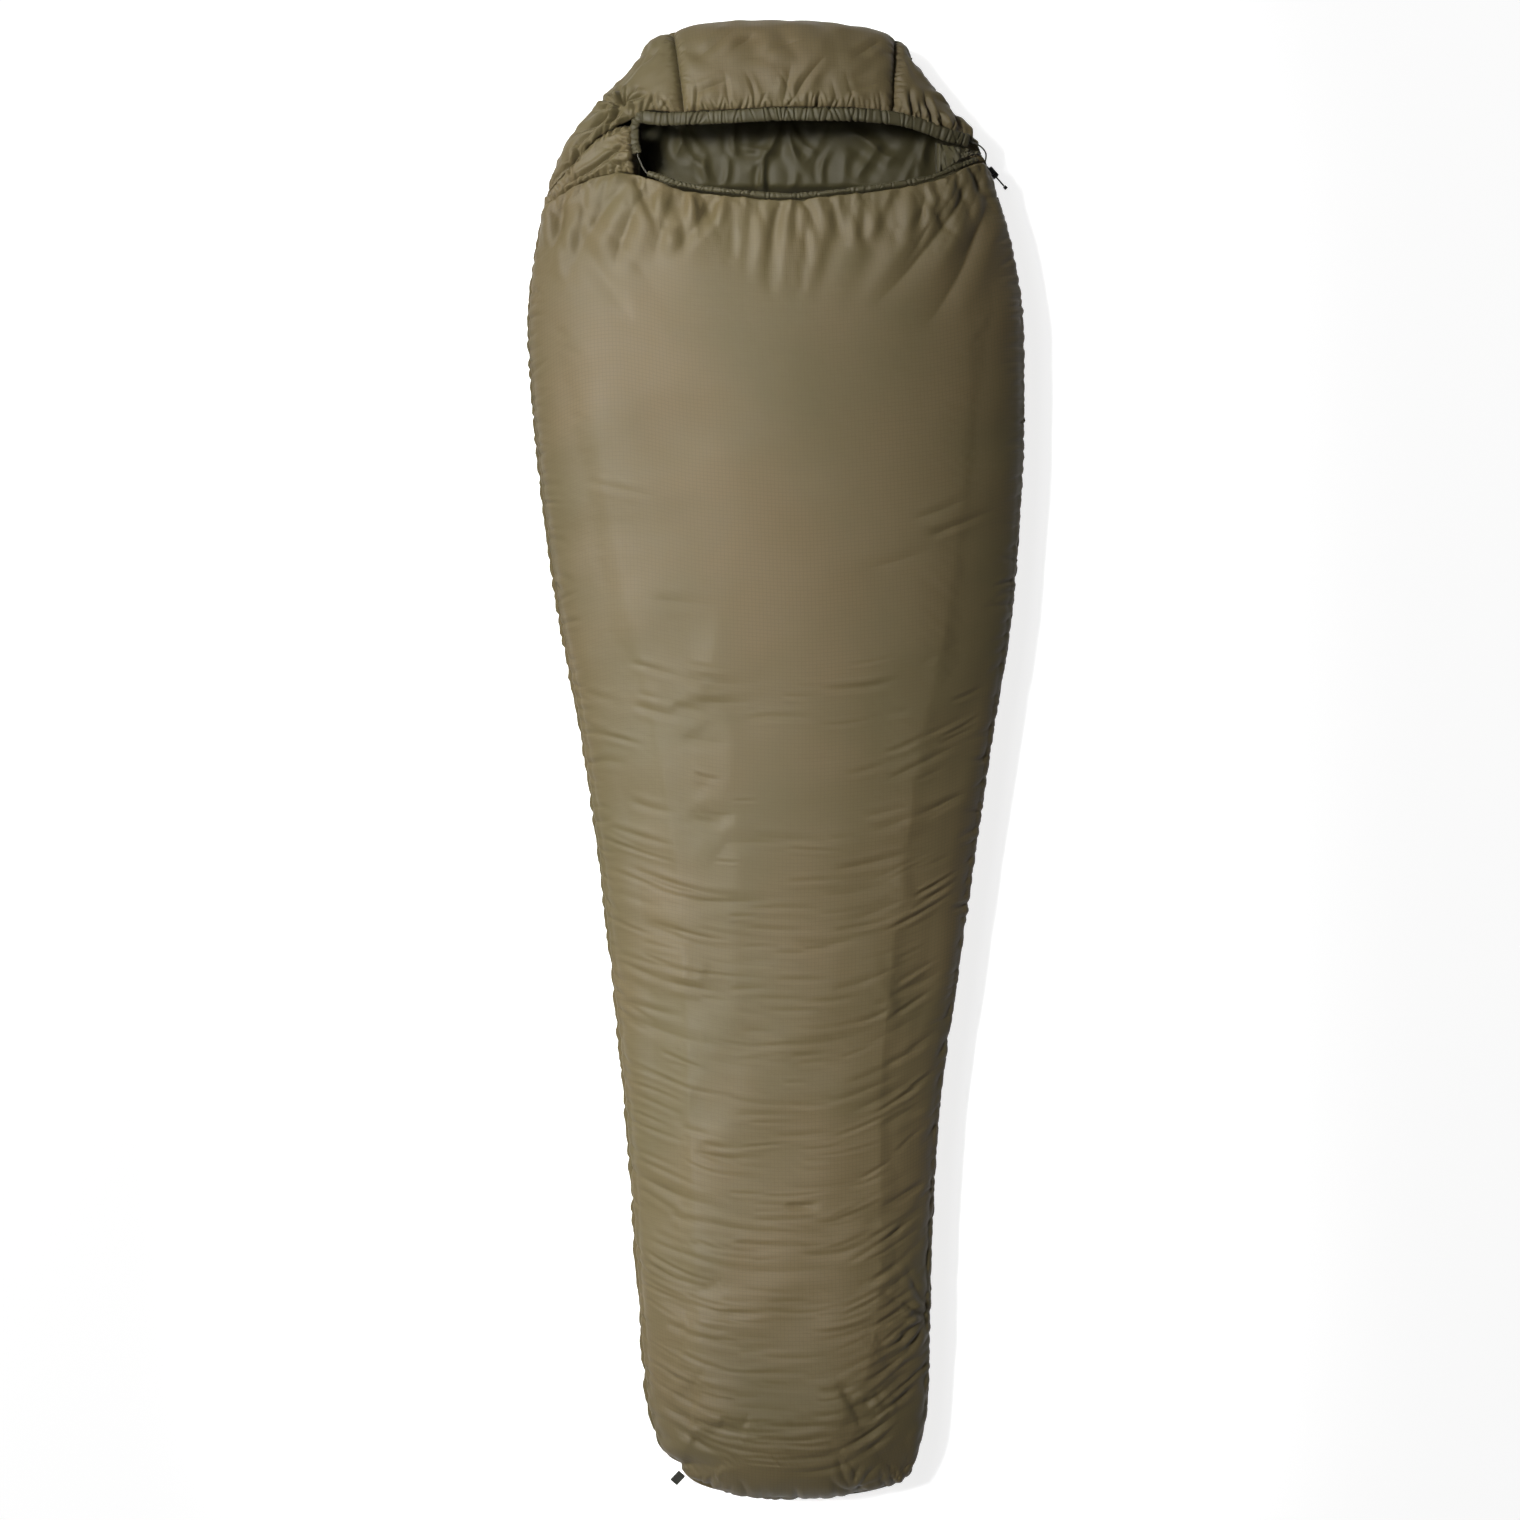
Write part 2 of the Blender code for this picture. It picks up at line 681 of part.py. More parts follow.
def zip_strips():
    for name, way in (("upper", 1), ("lower", -1)):
        tape = rectangle(-TAPE_HALF, TAPE_HALF, way * TAPE_FOLD, way * (SLOT_HALF - SEAM_GAP))
        strip(f"zip_tape_{name}", ZIP_BOTTOM_Y - 0.012, ZIP_TOP_Y + 0.008, tape, (OLIVE, 0.8))
        coil = rectangle(-COIL_HALF, COIL_HALF, way * COIL_LOW, way * COIL_HIGH)
        strip(f"zip_coil_{name}", ZIP_BOTTOM_Y, ZIP_TOP_Y, coil, (BLACK, 0.4))
    snag = rectangle(*SNAG_TAPE, 0.001 - SLOT_HALF, SLOT_HALF - 0.001)
    strip("anti_snag_tape", ZIP_BOTTOM_Y + 0.01, ZIP_TOP_Y - 0.02, snag, (CHANNEL_OLIVE, 0.7))
    reach = DRAFT_TUBE_COVER + DRAFT_TUBE_CORE_GAP
    wide = DRAFT_TUBE_WIDE - reach
    tall = DRAFT_TUBE_TALL - reach
    turns = np.arange(TUBE_SIDES) * 2 * math.pi / TUBE_SIDES
    core = [(DRAFT_TUBE_OUT + wide * math.cos(a), tall * math.sin(a)) for a in turns]
    strip("draft_tube_fill", ZIP_BOTTOM_Y + 0.030, ZIP_TOP_Y - 0.035, core, (FILL_WHITE, 0.95))


def draft_tube_cover():
    """The lining sleeve round the draft tube, open at both ends."""
    stations = zip_stations(ZIP_BOTTOM_Y + 0.028, ZIP_TOP_Y - 0.033)
    sides = TUBE_SIDES
    outer = []
    inner = []
    for y in stations:
        for k in range(sides):
            turn = 2 * math.pi * k / sides
            for ring, less in ((outer, 0), (inner, DRAFT_TUBE_COVER)):
                out = DRAFT_TUBE_OUT + (DRAFT_TUBE_WIDE - less) * math.cos(turn)
                point, _ = zip_frame(float(y), out)
                ring.append(point + Vector((0, 0, (DRAFT_TUBE_TALL - less) * math.sin(turn))))
    base = len(outer)
    faces = []
    for i in range(len(stations) - 1):
        for k in range(sides):
            a, b = i * sides + k, i * sides + (k + 1) % sides
            faces.append([a, b, b + sides, a + sides])
            faces.append([base + a + sides, base + b + sides, base + b, base + a])
    for k in range(sides):
        a, b = k, (k + 1) % sides
        faces.append([b, a, base + a, base + b])
        a, b = a + base - sides, b + base - sides
        faces.append([a, b, base + b, base + a])
    made = add_mesh("draft_tube_cover", outer + inner, faces, (LINING_OLIVE, 0.75))
    face_outwards(made.data)


def placed(name, mesh_maker, where, finish, helper=False):
    """An object whose mesh is made round its own origin, then placed by its matrix."""
    mesh = bpy.data.meshes.new(name)
    shape = bmesh.new()
    mesh_maker(shape)
    bmesh.ops.recalc_face_normals(shape, faces=shape.faces)
    shape.to_mesh(mesh)
    shape.free()
    thing = bpy.data.objects.new(name, mesh)
    bpy.context.scene.collection.objects.link(thing)
    thing.matrix_world = where
    if helper:
        thing.hide_render = True
        thing.display_type = "WIRE"
    else:
        mesh.materials.append(material(name, *finish))
    return thing


def block(size, centre=(0, 0, 0), rounded=0.0):
    def build(shape):
        made = bmesh.ops.create_cube(shape, size=1.0)
        bmesh.ops.scale(shape, vec=size, verts=made["verts"])
        bmesh.ops.translate(shape, vec=centre, verts=made["verts"])
        if rounded:
            bmesh.ops.bevel(
                shape, geom=shape.edges[:], offset=rounded, segments=2, profile=0.5, affect="EDGES"
            )

    return build


def rod(radius, length, axis, centre=(0, 0, 0), sides=12):
    """A cylinder along X or Z."""
    turn = Matrix.Rotation(math.pi / 2, 4, "Y") if axis == "X" else Matrix.Identity(4)

    def build(shape):
        bmesh.ops.create_cone(
            shape, cap_ends=True, segments=sides, radius1=radius, radius2=radius, depth=length,
            matrix=Matrix.Translation(centre) @ turn,
        )

    return build


def combine(thing, operation, other_maker):
    """Adds or cuts a helper shape that shares the object's own axes."""
    name = f"{thing.name}_{operation.lower()}_{len(thing.modifiers)}"
    helper = placed(name, other_maker, thing.matrix_world, None, True)
    change = thing.modifiers.new(operation.title(), "BOOLEAN")
    change.operation = operation
    change.object = helper
    change.solver = "EXACT"


def zip_axes(y, out):
    """A matrix at the zip's line: local X outwards, local Y along the zip towards the hood, Z up."""
    point, way = zip_frame(y, out)
    along = Vector((0, 0, 1)).cross(way)
    turn = Matrix((way, along, Vector((0, 0, 1)))).transposed().to_4x4()
    return Matrix.Translation(point) @ turn


def zip_slider(name, y, post_way):
    slider = placed(
        name, block((PLATE_THICK, SLIDER_LENGTH, SLIDER_TALL), (PLATE_OUT, 0, 0)), zip_axes(y, 0), (BLACK, 0.35)
    )
    combine(slider, "UNION", block(POST, (0, post_way * (SLIDER_LENGTH - POST[1]) / 2, 0)))
    combine(slider, "UNION", block((PLATE_THICK, SLIDER_LENGTH, SLIDER_TALL), (-PLATE_OUT, 0, 0)))
    for up in (-1, 1):
        for out in (-1, 1):
            centre = (out * FLANGE_OUT, 0, up * (SLIDER_TALL - FLANGE) / 2)
            combine(slider, "UNION", block((PLATE_THICK, SLIDER_LENGTH, FLANGE), centre))
        combine(slider, "UNION", block(EAR, (EAR_OUT, 0, up * EAR_UP)))
    combine(slider, "UNION", rod(PIN_RADIUS, PIN_LENGTH, "Z", (PIN_OUT, 0, 0), sides=8))


def zip_pull(name, y, way):
    """The pull's origin is on its pin; it lies along the zip, towards way."""
    pull = placed(name, rod(EYE_RADIUS, PULL_WIDE, "Z"), zip_axes(y, PIN_OUT), (BLACK, 0.4))
    reach = PULL_LENGTH - EYE_RADIUS
    centre = (0.0002, way * (reach / 2 + EYE_RADIUS * 0.7), 0)
    combine(pull, "UNION", block((PULL_THICK, reach, PULL_WIDE), centre, rounded=0.0003))
    combine(pull, "DIFFERENCE", rod(PIN_RADIUS + PIN_PLAY, 2 * PULL_WIDE, "Z", sides=12))


def zip_stops():
    for name, up in (("front", 1), ("back", -1)):
        placed(
            f"zip_top_stop_{name}", block(STOP_SIZE, (0, 0, up * STOP_UP), rounded=0.0003),
            zip_axes(ZIP_TOP_Y + 0.0027, 0), (BLACK, 0.4),
        )
    placed(
        "zip_bottom_stop", block(BOTTOM_STOP_SIZE, rounded=0.0004),
        zip_axes(ZIP_BOTTOM_Y - 0.0034, 0), (BLACK, 0.4),
    )


def lock_axes(z):
    """Local X along the cord, Z up."""
    turn = math.atan2(LOCK_DIRECTION[1], LOCK_DIRECTION[0])
    return Matrix.Translation((*LOCK_CENTRE, z)) @ Matrix.Rotation(turn, 4, "Z")


def cord_lock():
    tall = LOCK_HIGH - LOCK_LOW
    centre = lock_axes(0)
    body = placed(
        "cord_lock_body",
        block((LOCK_LENGTH, LOCK_WIDTH, tall), (0, 0, LOCK_LOW + tall / 2), rounded=0.0016),
        centre, (BLACK, 0.4),
    )
    deep = 2 * LOCK_HIGH
    pocket = (BUTTON_SIZE[0] + 2 * BUTTON_PLAY, BUTTON_SIZE[1] + 2 * BUTTON_PLAY, deep)
    combine(body, "DIFFERENCE", block(pocket, (0, 0, SPRING_LOW - BUTTON_PLAY + deep / 2)))
    cord_hole = rod(CORD_RADIUS + 2 * BUTTON_PLAY, 2 * LOCK_LENGTH, "X", (0, 0, LOCK_CORD_Z))
    combine(body, "DIFFERENCE", cord_hole)
    tall = BUTTON_HIGH - BUTTON_LOW
    button = placed(
        "cord_lock_button",
        block((*BUTTON_SIZE, tall), (0, 0, BUTTON_LOW + tall / 2), rounded=0.0005),
        centre, (BLACK, 0.4),
    )
    eye = (LOCK_LENGTH, 2 * CORD_RADIUS + 4 * BUTTON_PLAY, BUTTON_EYE)
    combine(button, "DIFFERENCE", block(eye, (0, 0, BUTTON_EYE_Z)))
    lock_spring(centre)
    ahead = Vector((*LOCK_DIRECTION, 0)).normalized()
    bead_at = Vector(CORD_TAIL_ROUTE[-1]) + ahead * (BEAD_LENGTH / 2 + BEAD_GAP)
    where = Matrix.Translation(bead_at) @ Matrix.Rotation(math.atan2(ahead.y, ahead.x), 4, "Z")
    placed("cord_end_bead", rod(BEAD_RADIUS, BEAD_LENGTH, "X"), where, (BLACK, 0.4))


def lock_spring(where):
    """The wire spring under the button."""
    steps = 27
    low = SPRING_LOW + BUTTON_PLAY
    high = SPRING_HIGH - BUTTON_PLAY
    coil = []
    for k in range(steps + 1):
        angle = 2 * math.pi * SPRING_TURNS * k / steps
        lift = low + (high - low) * k / steps
        coil.append(where @ Vector((SPRING_RADIUS * math.cos(angle), SPRING_RADIUS * math.sin(angle), lift)))
    spring = cord("cord_lock_spring", coil, SPRING_WIRE, SPRING_STEEL, resolution=1)
    spring.data.materials[0].node_tree.nodes["Principled BSDF"].inputs["Metallic"].default_value = 1.0


def foot_loop():
    """A folded strip of webbing; its origin is on the line where it is stitched into the seam."""
    along = Vector((*LOOP_ALONG, 0)).normalized()
    outward = Vector((along.y, -along.x, 0))
    reach = outward * math.cos(LOOP_DROOP) - Vector((0, 0, math.sin(LOOP_DROOP)))
    up = reach.cross(along)
    fold = WEBBING + 0.0008
    profile = [(0, fold), (LOOP_LENGTH - fold, fold)]
    bend = [(math.sin(a), math.cos(a)) for a in np.linspace(0, math.pi, 7)[1:-1]]
    profile += [(LOOP_LENGTH - fold + fold * s, fold * c) for s, c in bend]
    profile += [(LOOP_LENGTH - fold, -fold), (0, -fold)]
    thin = fold - WEBBING
    inner = [(0, -thin), (LOOP_LENGTH - fold, -thin)]
    inner += [(LOOP_LENGTH - fold + thin * s, thin * c) for s, c in reversed(bend)]
    inner += [(LOOP_LENGTH - fold, thin), (0, thin)]
    section = profile + inner
    points = []
    for side in (-1, 1):
        for out, lift in section:
            points.append(reach * out + up * lift + along * side * LOOP_WIDTH / 2)
    count = len(section)
    faces = [[k, (k + 1) % count, count + (k + 1) % count, count + k] for k in range(count)]
    half = len(profile)
    for side in (0, count):
        for k in range(half - 1):
            a, b = k, k + 1
            c, d = count - 1 - b, count - 1 - a
            quad = [side + i for i in (a, b, c, d)]
            faces.append(quad if side else quad[::-1])
    made = add_mesh("foot_loop", points, faces, (CORD_OLIVE, 0.8))
    made.location = (*LOOP_ROOT, SEAM_Z)
    face_outwards(made.data)


clear_scene()
body_panels()
hood_panels()
neck_pieces()
drawcord_parts()
zip_strips()
draft_tube_cover()
zip_slider("zip_slider_top", TOP_SLIDER_Y, 1)
zip_pull("zip_pull_top", TOP_SLIDER_Y, -1)
zip_slider("zip_slider_bottom", BOTTOM_SLIDER_Y, -1)
zip_pull("zip_pull_bottom", BOTTOM_SLIDER_Y, 1)
zip_stops()
cord_lock()
foot_loop()
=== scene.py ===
import math

import bpy
import numpy as np
from mathutils import Matrix, Vector


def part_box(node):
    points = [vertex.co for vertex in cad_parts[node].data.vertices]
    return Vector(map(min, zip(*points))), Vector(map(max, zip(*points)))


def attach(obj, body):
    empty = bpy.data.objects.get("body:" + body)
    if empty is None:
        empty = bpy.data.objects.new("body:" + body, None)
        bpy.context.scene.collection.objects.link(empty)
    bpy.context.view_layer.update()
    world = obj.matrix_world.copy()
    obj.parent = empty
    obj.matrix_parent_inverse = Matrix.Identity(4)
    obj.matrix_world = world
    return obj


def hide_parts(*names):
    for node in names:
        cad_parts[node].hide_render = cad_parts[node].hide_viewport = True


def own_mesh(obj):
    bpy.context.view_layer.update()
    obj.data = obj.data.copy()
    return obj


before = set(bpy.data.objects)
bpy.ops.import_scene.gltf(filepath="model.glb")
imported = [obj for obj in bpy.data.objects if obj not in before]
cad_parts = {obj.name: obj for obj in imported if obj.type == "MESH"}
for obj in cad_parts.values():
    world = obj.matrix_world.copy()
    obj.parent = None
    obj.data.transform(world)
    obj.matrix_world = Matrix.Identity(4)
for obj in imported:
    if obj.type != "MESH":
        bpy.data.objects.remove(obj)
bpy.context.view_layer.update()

scene = bpy.context.scene
bpy.ops.object.select_all(action="DESELECT")

# ---------------------------------------------------------------- camera
# The bag is seen from straight above, through a long lens, with the hood at the top.
CAMERA_HEIGHT = 6.0
FRAME_WIDTH = 2.261
FRAME_PLANE = 0.07
camera = bpy.data.objects.new("camera", bpy.data.cameras.new("camera"))
scene.collection.objects.link(camera)
scene.camera = camera
camera.location = (-0.025, 0.0, CAMERA_HEIGHT)
camera.data.sensor_width = 36.0
camera.data.lens = 36.0 * (CAMERA_HEIGHT - FRAME_PLANE) / FRAME_WIDTH

# ---------------------------------------------------------------- free drawcord
# The drawcord's free end comes out of the hood channel's right mouth, drops over the side of the
# hood and lies on the floor, through the cord lock. It is a thin braided polyester cord.
CORD_RADIUS = 0.00125
CORD_COLOUR = (0.055, 0.050, 0.034)
CORD_ROUTE = (
    (0.2855, 0.9177, 0.0835), (0.2930, 0.9160, 0.0820), (0.3005, 0.9130, 0.0775), (0.3065, 0.9095, 0.0700),
    (0.3105, 0.9060, 0.0600), (0.3125, 0.9030, 0.0480), (0.3130, 0.9005, 0.0340), (0.3130, 0.8985, 0.0210),
    (0.3132, 0.8960, 0.0125), (0.3140, 0.8945, 0.0085), (0.3155, 0.8927, 0.0073), (0.3170, 0.8910, 0.0072),
    (0.3245, 0.8825, 0.0072), (0.3420, 0.8626, 0.0072),
)


def through(stations):
    """A smooth function through (place, value) points: a cubic Hermite with limited slopes."""
    at = np.array([s[0] for s in stations], float)
    value = np.array([s[1] for s in stations], float)
    step = np.diff(at)
    rise = np.diff(value) / step
    slope = np.empty(len(at))
    slope[0] = rise[0]
    slope[-1] = rise[-1]
    same_way = rise[:-1] * rise[1:] > 0
    mean = 2 * rise[:-1] * rise[1:] / np.where(same_way, rise[:-1] + rise[1:], 1)
    slope[1:-1] = np.where(same_way, mean, 0)

    def read(place):
        place = np.clip(np.asarray(place, float), at[0], at[-1])
        i = np.clip(np.searchsorted(at, place, side="right") - 1, 0, len(step) - 1)
        t = (place - at[i]) / step[i]
        from_left = value[i] * (1 + 2 * t) * (1 - t) ** 2 + slope[i] * step[i] * t * (1 - t) ** 2
        from_right = value[i + 1] * t**2 * (3 - 2 * t) - slope[i + 1] * step[i] * t**2 * (1 - t)
        return from_left + from_right

    return read


def smooth_route(route, count):
    """Points evenly spaced along a smooth curve through the route's own points."""
    points = np.array(route, float)
    run = np.concatenate([[0], np.cumsum(np.linalg.norm(np.diff(points, axis=0), axis=1))])
    at = np.linspace(0, run[-1], count)
    return np.stack([through(list(zip(run, points[:, k])))(at) for k in range(3)], axis=-1)


def run_along(points):
    """The distance along a line of points, from its start."""
    return np.concatenate([[0], np.cumsum(np.linalg.norm(np.diff(points, axis=0), axis=1))])


def frames_along(points):
    """(side, up) directions at each point of a line, square to it and without twist."""
    ahead = np.gradient(points, axis=0)
    ahead /= np.linalg.norm(ahead, axis=1)[:, None]
    side = np.cross(ahead, (0.0, 0.0, 1.0))
    for i in range(len(side)):
        if np.linalg.norm(side[i]) < 0.35:
            side[i] = side[i - 1] - ahead[i] * (side[i - 1] @ ahead[i])
        side[i] /= np.linalg.norm(side[i])
    return side, np.cross(side, ahead)


def new_piece(name, points, faces, uv, *finishes):
    """A mesh piece with a UV map in metres, smooth-shaded."""
    mesh = bpy.data.meshes.new(name)
    mesh.from_pydata(np.asarray(points, float).reshape(-1, 3), [], faces)
    layer = mesh.uv_layers.new(name="cloth")
    corners = np.empty(len(mesh.loops), np.int32)
    mesh.loops.foreach_get("vertex_index", corners)
    layer.data.foreach_set("uv", np.asarray(uv, np.float32).reshape(-1, 2)[corners].ravel())
    mesh.shade_smooth()
    for finish in finishes:
        mesh.materials.append(finish)
    piece = bpy.data.objects.new(name, mesh)
    scene.collection.objects.link(piece)
    return piece


def tube(name, rings, *finishes):
    """A closed tube through rings of points, as an array [station, side, xyz]."""
    stations, sides, _ = rings.shape
    faces = []
    for i in range(stations - 1):
        for k in range(sides):
            n = (k + 1) % sides
            faces.append((i * sides + k, (i + 1) * sides + k, (i + 1) * sides + n, i * sides + n))
    points = rings.reshape(-1, 3)
    ends = np.stack([rings[0].mean(axis=0), rings[-1].mean(axis=0)])
    first = len(points)
    last = (stations - 1) * sides
    for k in range(sides):
        n = (k + 1) % sides
        faces.append((k, n, first))
        faces.append((last + n, last + k, first + 1))
    run = run_along(rings.mean(axis=1))
    girth = np.linalg.norm(rings[0][1] - rings[0][0])
    uv = np.stack(np.meshgrid(np.arange(sides) * girth, run), axis=-1).reshape(-1, 2)
    uv = np.concatenate([uv, [[0, 0], [0, run[-1]]]])
    return new_piece(name, np.concatenate([points, ends]), faces, uv, *finishes)


def new_material(name, colour, roughness, metallic=0.0, specular=0.5):
    """A material with its shader, and a maker of nodes linked into it."""
    made = bpy.data.materials.new(name)
    made.use_nodes = True
    tree = made.node_tree
    shader = tree.nodes["Principled BSDF"]
    shader.inputs["Base Color"].default_value = (*colour, 1.0)
    shader.inputs["Roughness"].default_value = roughness
    shader.inputs["Metallic"].default_value = metallic
    shader.inputs["Specular IOR Level"].default_value = specular

    def add(kind, links=(), **values):
        node = tree.nodes.new(kind)
        for key, value in values.items():
            if key in node.inputs:
                node.inputs[key].default_value = value
            else:
                setattr(node, key, value)
        for socket, source in dict(links).items():
            tree.links.new(source, node.inputs[socket])
        return node

    def link(source, socket):
        tree.links.new(source, shader.inputs[socket])

    return made, add, link


def braid_material(name, colour, pitch):
    """Braided cord or webbing: crossing strands read from the UV map, with painted highlight on their high
    spots and painted shade in the hollows between them.
    """
    made, add, link = new_material(name, colour, 0.75, specular=0.3)
    made.node_tree.nodes["Principled BSDF"].inputs["Sheen Weight"].default_value = 0.15
    uv = add("ShaderNodeUVMap", uv_map="cloth")
    heights = []
    for turn in (math.radians(50), math.radians(-50)):
        turned = add("ShaderNodeMapping", {"Vector": uv.outputs["UV"]}, Rotation=(0, 0, turn))
        strands = add(
            "ShaderNodeTexWave", {"Vector": turned.outputs["Vector"]}, wave_profile="SIN",
            Scale=0.1 / pitch * 3.14, Distortion=0.4, Detail=1.0,
        )
        heights.append(strands.outputs["Fac"])
    crossing = add("ShaderNodeMath", {0: heights[0], 1: heights[1]}, operation="MULTIPLY")
    # Painted highlight and shade: the base colour is lighter where the strands stand high and darker in the
    # hollows between them.
    tone = add("ShaderNodeMix", {"Factor": crossing.outputs[0]}, data_type="RGBA")
    tone.inputs["A"].default_value = (*[c * 0.55 for c in colour], 1)
    tone.inputs["B"].default_value = (*[min(1, c * 1.35) for c in colour], 1)
    link(tone.outputs["Result"], "Base Color")
    bump = add("ShaderNodeBump", {"Height": crossing.outputs[0]}, Strength=0.6, Distance=pitch * 0.3)
    link(bump.outputs["Normal"], "Normal")
    return made


def round_rings(points, radius, sides):
    side, up = frames_along(points)
    turn = np.linspace(0, 2 * math.pi, sides, endpoint=False)[:, None]
    return np.stack([
        point + radius * (np.cos(turn) * a + np.sin(turn) * b) for point, a, b in zip(points, side, up)
    ])


cord_finish = braid_material("braided_cord", CORD_COLOUR, 0.0012)
cord_line = smooth_route(CORD_ROUTE, 110)
cord_tail = tube("drawcord_tail_braid", round_rings(cord_line, CORD_RADIUS, 10), cord_finish)
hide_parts("drawcord_tail")
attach(cord_tail, "bag")

# ---------------------------------------------------------------- chest
# The bag's top: one long panel of olive ripstop nylon, filled with synthetic batting, sewn to the
# back along both sides and round the foot, and gathered at the neck on to its drawcord channel.
SIDE_STATIONS = (
    (-1.048, -0.140, 0.199), (-1.025, -0.167, 0.208), (-1.000, -0.179, 0.214), (-0.950, -0.192, 0.222),
    (-0.800, -0.204, 0.225), (-0.550, -0.221, 0.236), (-0.300, -0.245, 0.269), (0.000, -0.283, 0.312),
    (0.250, -0.328, 0.350), (0.500, -0.358, 0.364), (0.650, -0.367, 0.362), (0.760, -0.356, 0.345),
    (0.840, -0.345, 0.330), (0.900, -0.324, 0.311), (0.970, -0.274, 0.260), (1.010, -0.233, 0.227),
    (1.045, -0.205, 0.202),
)
FOOT_CORNER_Y, FOOT_DEPTH = -1.048, 0.052
CROWN_CORNER_Y, CROWN_DEPTH = 1.045, 0.055
END_ROUNDNESS = 2.4
SEAM_Z = 0.058
LOFT_STATIONS = (
    (-1.10, 0.072), (-0.80, 0.077), (-0.30, 0.077), (0.30, 0.083), (0.65, 0.086), (0.85, 0.080), (1.10, 0.064),
)
TOP_ROUNDNESS, BACK_ROUNDNESS = 2.3, 3.0
FLOOR_OVERLAP = 0.004
FOOT_FALL, CROWN_FALL = 0.12, 0.09
SEAM_GAP = 0.0004
SLOT_HALF, SLOT_BOTTOM_Y, SLOT_TOP_Y, SLOT_RAMP, SLOT_REACH = 0.0070, -0.852, 0.885, 0.060, 0.45
CHEST_EDGE = (
    (-0.360, 0.811), (-0.338, 0.826), (-0.300, 0.848), (-0.262, 0.862), (-0.226, 0.866), (-0.192, 0.858),
    (-0.131, 0.838), (-0.060, 0.829), (0.012, 0.823), (0.107, 0.832), (0.202, 0.846),
    (0.244, 0.858), (0.272, 0.872), (0.300, 0.884), (0.330, 0.888),
)
WALL = 0.0222

left_edge = through([(y, left) for y, left, _ in SIDE_STATIONS])
right_edge = through([(y, right) for y, _, right in SIDE_STATIONS])
loft = through(LOFT_STATIONS)
chest_edge = through(CHEST_EDGE)


def smooth_step(t):
    t = np.clip(t, 0.0, 1.0)
    return t * t * (3 - 2 * t)


def middle(y):
    return (left_edge(y) + right_edge(y)) / 2


def half_width(y, inset=0.0):
    return (right_edge(y) - left_edge(y)) / 2 - inset


def across_share(x, y, inset=0.0):
    """Where x lies across the bag at y: -1 on the left edge, 1 on the right one."""
    return (x - middle(y)) / half_width(y, inset)


def round_end(p, depth):
    return depth * np.clip(1 - np.abs(p) ** END_ROUNDNESS, 0, 1) ** (1 / END_ROUNDNESS)


def foot_end(p, inset=0.0):
    return FOOT_CORNER_Y - round_end(p, FOOT_DEPTH) + inset


def crown_end(p, inset=0.0):
    return CROWN_CORNER_Y + round_end(p, CROWN_DEPTH) - inset


def fullness(p, y, inset, roundness):
    """0 on the outline and 1 where the bag is at its full height."""
    to_foot = np.clip((y - foot_end(p, inset)) / FOOT_FALL, 0, 1)
    to_crown = np.clip((crown_end(p, inset) - y) / CROWN_FALL, 0, 1)
    share = np.clip(1 - np.abs(p) ** roundness, 0, 1)
    share = share * (1 - (1 - to_foot) ** roundness) * (1 - (1 - to_crown) ** roundness)
    return share ** (1 / roundness)


def slot_lift(p, y):
    """How far each panel's edge stands off the seam plane to leave the zip its slot."""
    along = smooth_step((y - SLOT_BOTTOM_Y + SLOT_RAMP) / SLOT_RAMP)
    along = along * smooth_step((SLOT_TOP_Y + SLOT_RAMP - y) / SLOT_RAMP)
    return SLOT_HALF * along * smooth_step((p - 1 + SLOT_REACH) / SLOT_REACH)


def top_height(p, y, inset=0.0):
    rise = (loft(y) - inset) * fullness(p, y, inset, TOP_ROUNDNESS)
    return SEAM_Z + SEAM_GAP / 2 + rise + slot_lift(p, y)


def back_height(p, y, inset=0.0):
    drop = (SEAM_Z + FLOOR_OVERLAP - inset) * fullness(p, y, inset, BACK_ROUNDNESS)
    return np.maximum(inset, SEAM_Z - SEAM_GAP / 2 - drop - slot_lift(p, y))


def y_on(line, p, inset, low=0.78, high=1.02):
    """Where the seam line y = line(x) crosses the place p across the bag."""
    low = np.full(np.shape(p), low)
    high = np.full(np.shape(p), high)
    for _ in range(30):
        mid = (low + high) / 2
        below = mid < line(middle(mid) + p * half_width(mid, inset))
        low = np.where(below, mid, low)
        high = np.where(below, high, mid)
    return (low + high) / 2


def panel_grid(height, inset, columns, rows, left, right, low, high):
    """Points on one surface of a panel, as an array [row, column, xyz]."""
    u, v = np.meshgrid(columns, rows)
    y = np.zeros(u.shape)
    for _ in range(12):
        start = left(y, inset)
        p = start + (right(y, inset) - start) * u
        bottom = low(p, inset)
        y = bottom + (high(p, inset) - bottom) * v
    x = middle(y) + p * half_width(y, inset)
    return np.stack([x, y, height(p, y, inset)], axis=-1)


def even_panel(height, ends, across, along):
    """The shares across and along a panel that space its grid evenly on the cloth."""
    dense = (1 - np.cos(np.linspace(0, math.pi, 401))) / 2
    centre = np.array([0.5])
    lines = (
        panel_grid(height, 0.0, dense, centre, *ends)[0],
        panel_grid(height, 0.0, centre, dense, *ends)[:, 0],
    )
    out = []
    for line, count in zip(lines, (across, along)):
        run = run_along(line)
        out.append(np.interp(np.linspace(0, run[-1], count + 1), run, dense))
    return out


def bag_left(y, inset):
    return np.full(np.shape(y), -1.0)


def bag_right(y, inset):
    return np.full(np.shape(y), 1.0)


def below_chest_edge(p, inset):
    return y_on(chest_edge, p, inset) - SEAM_GAP


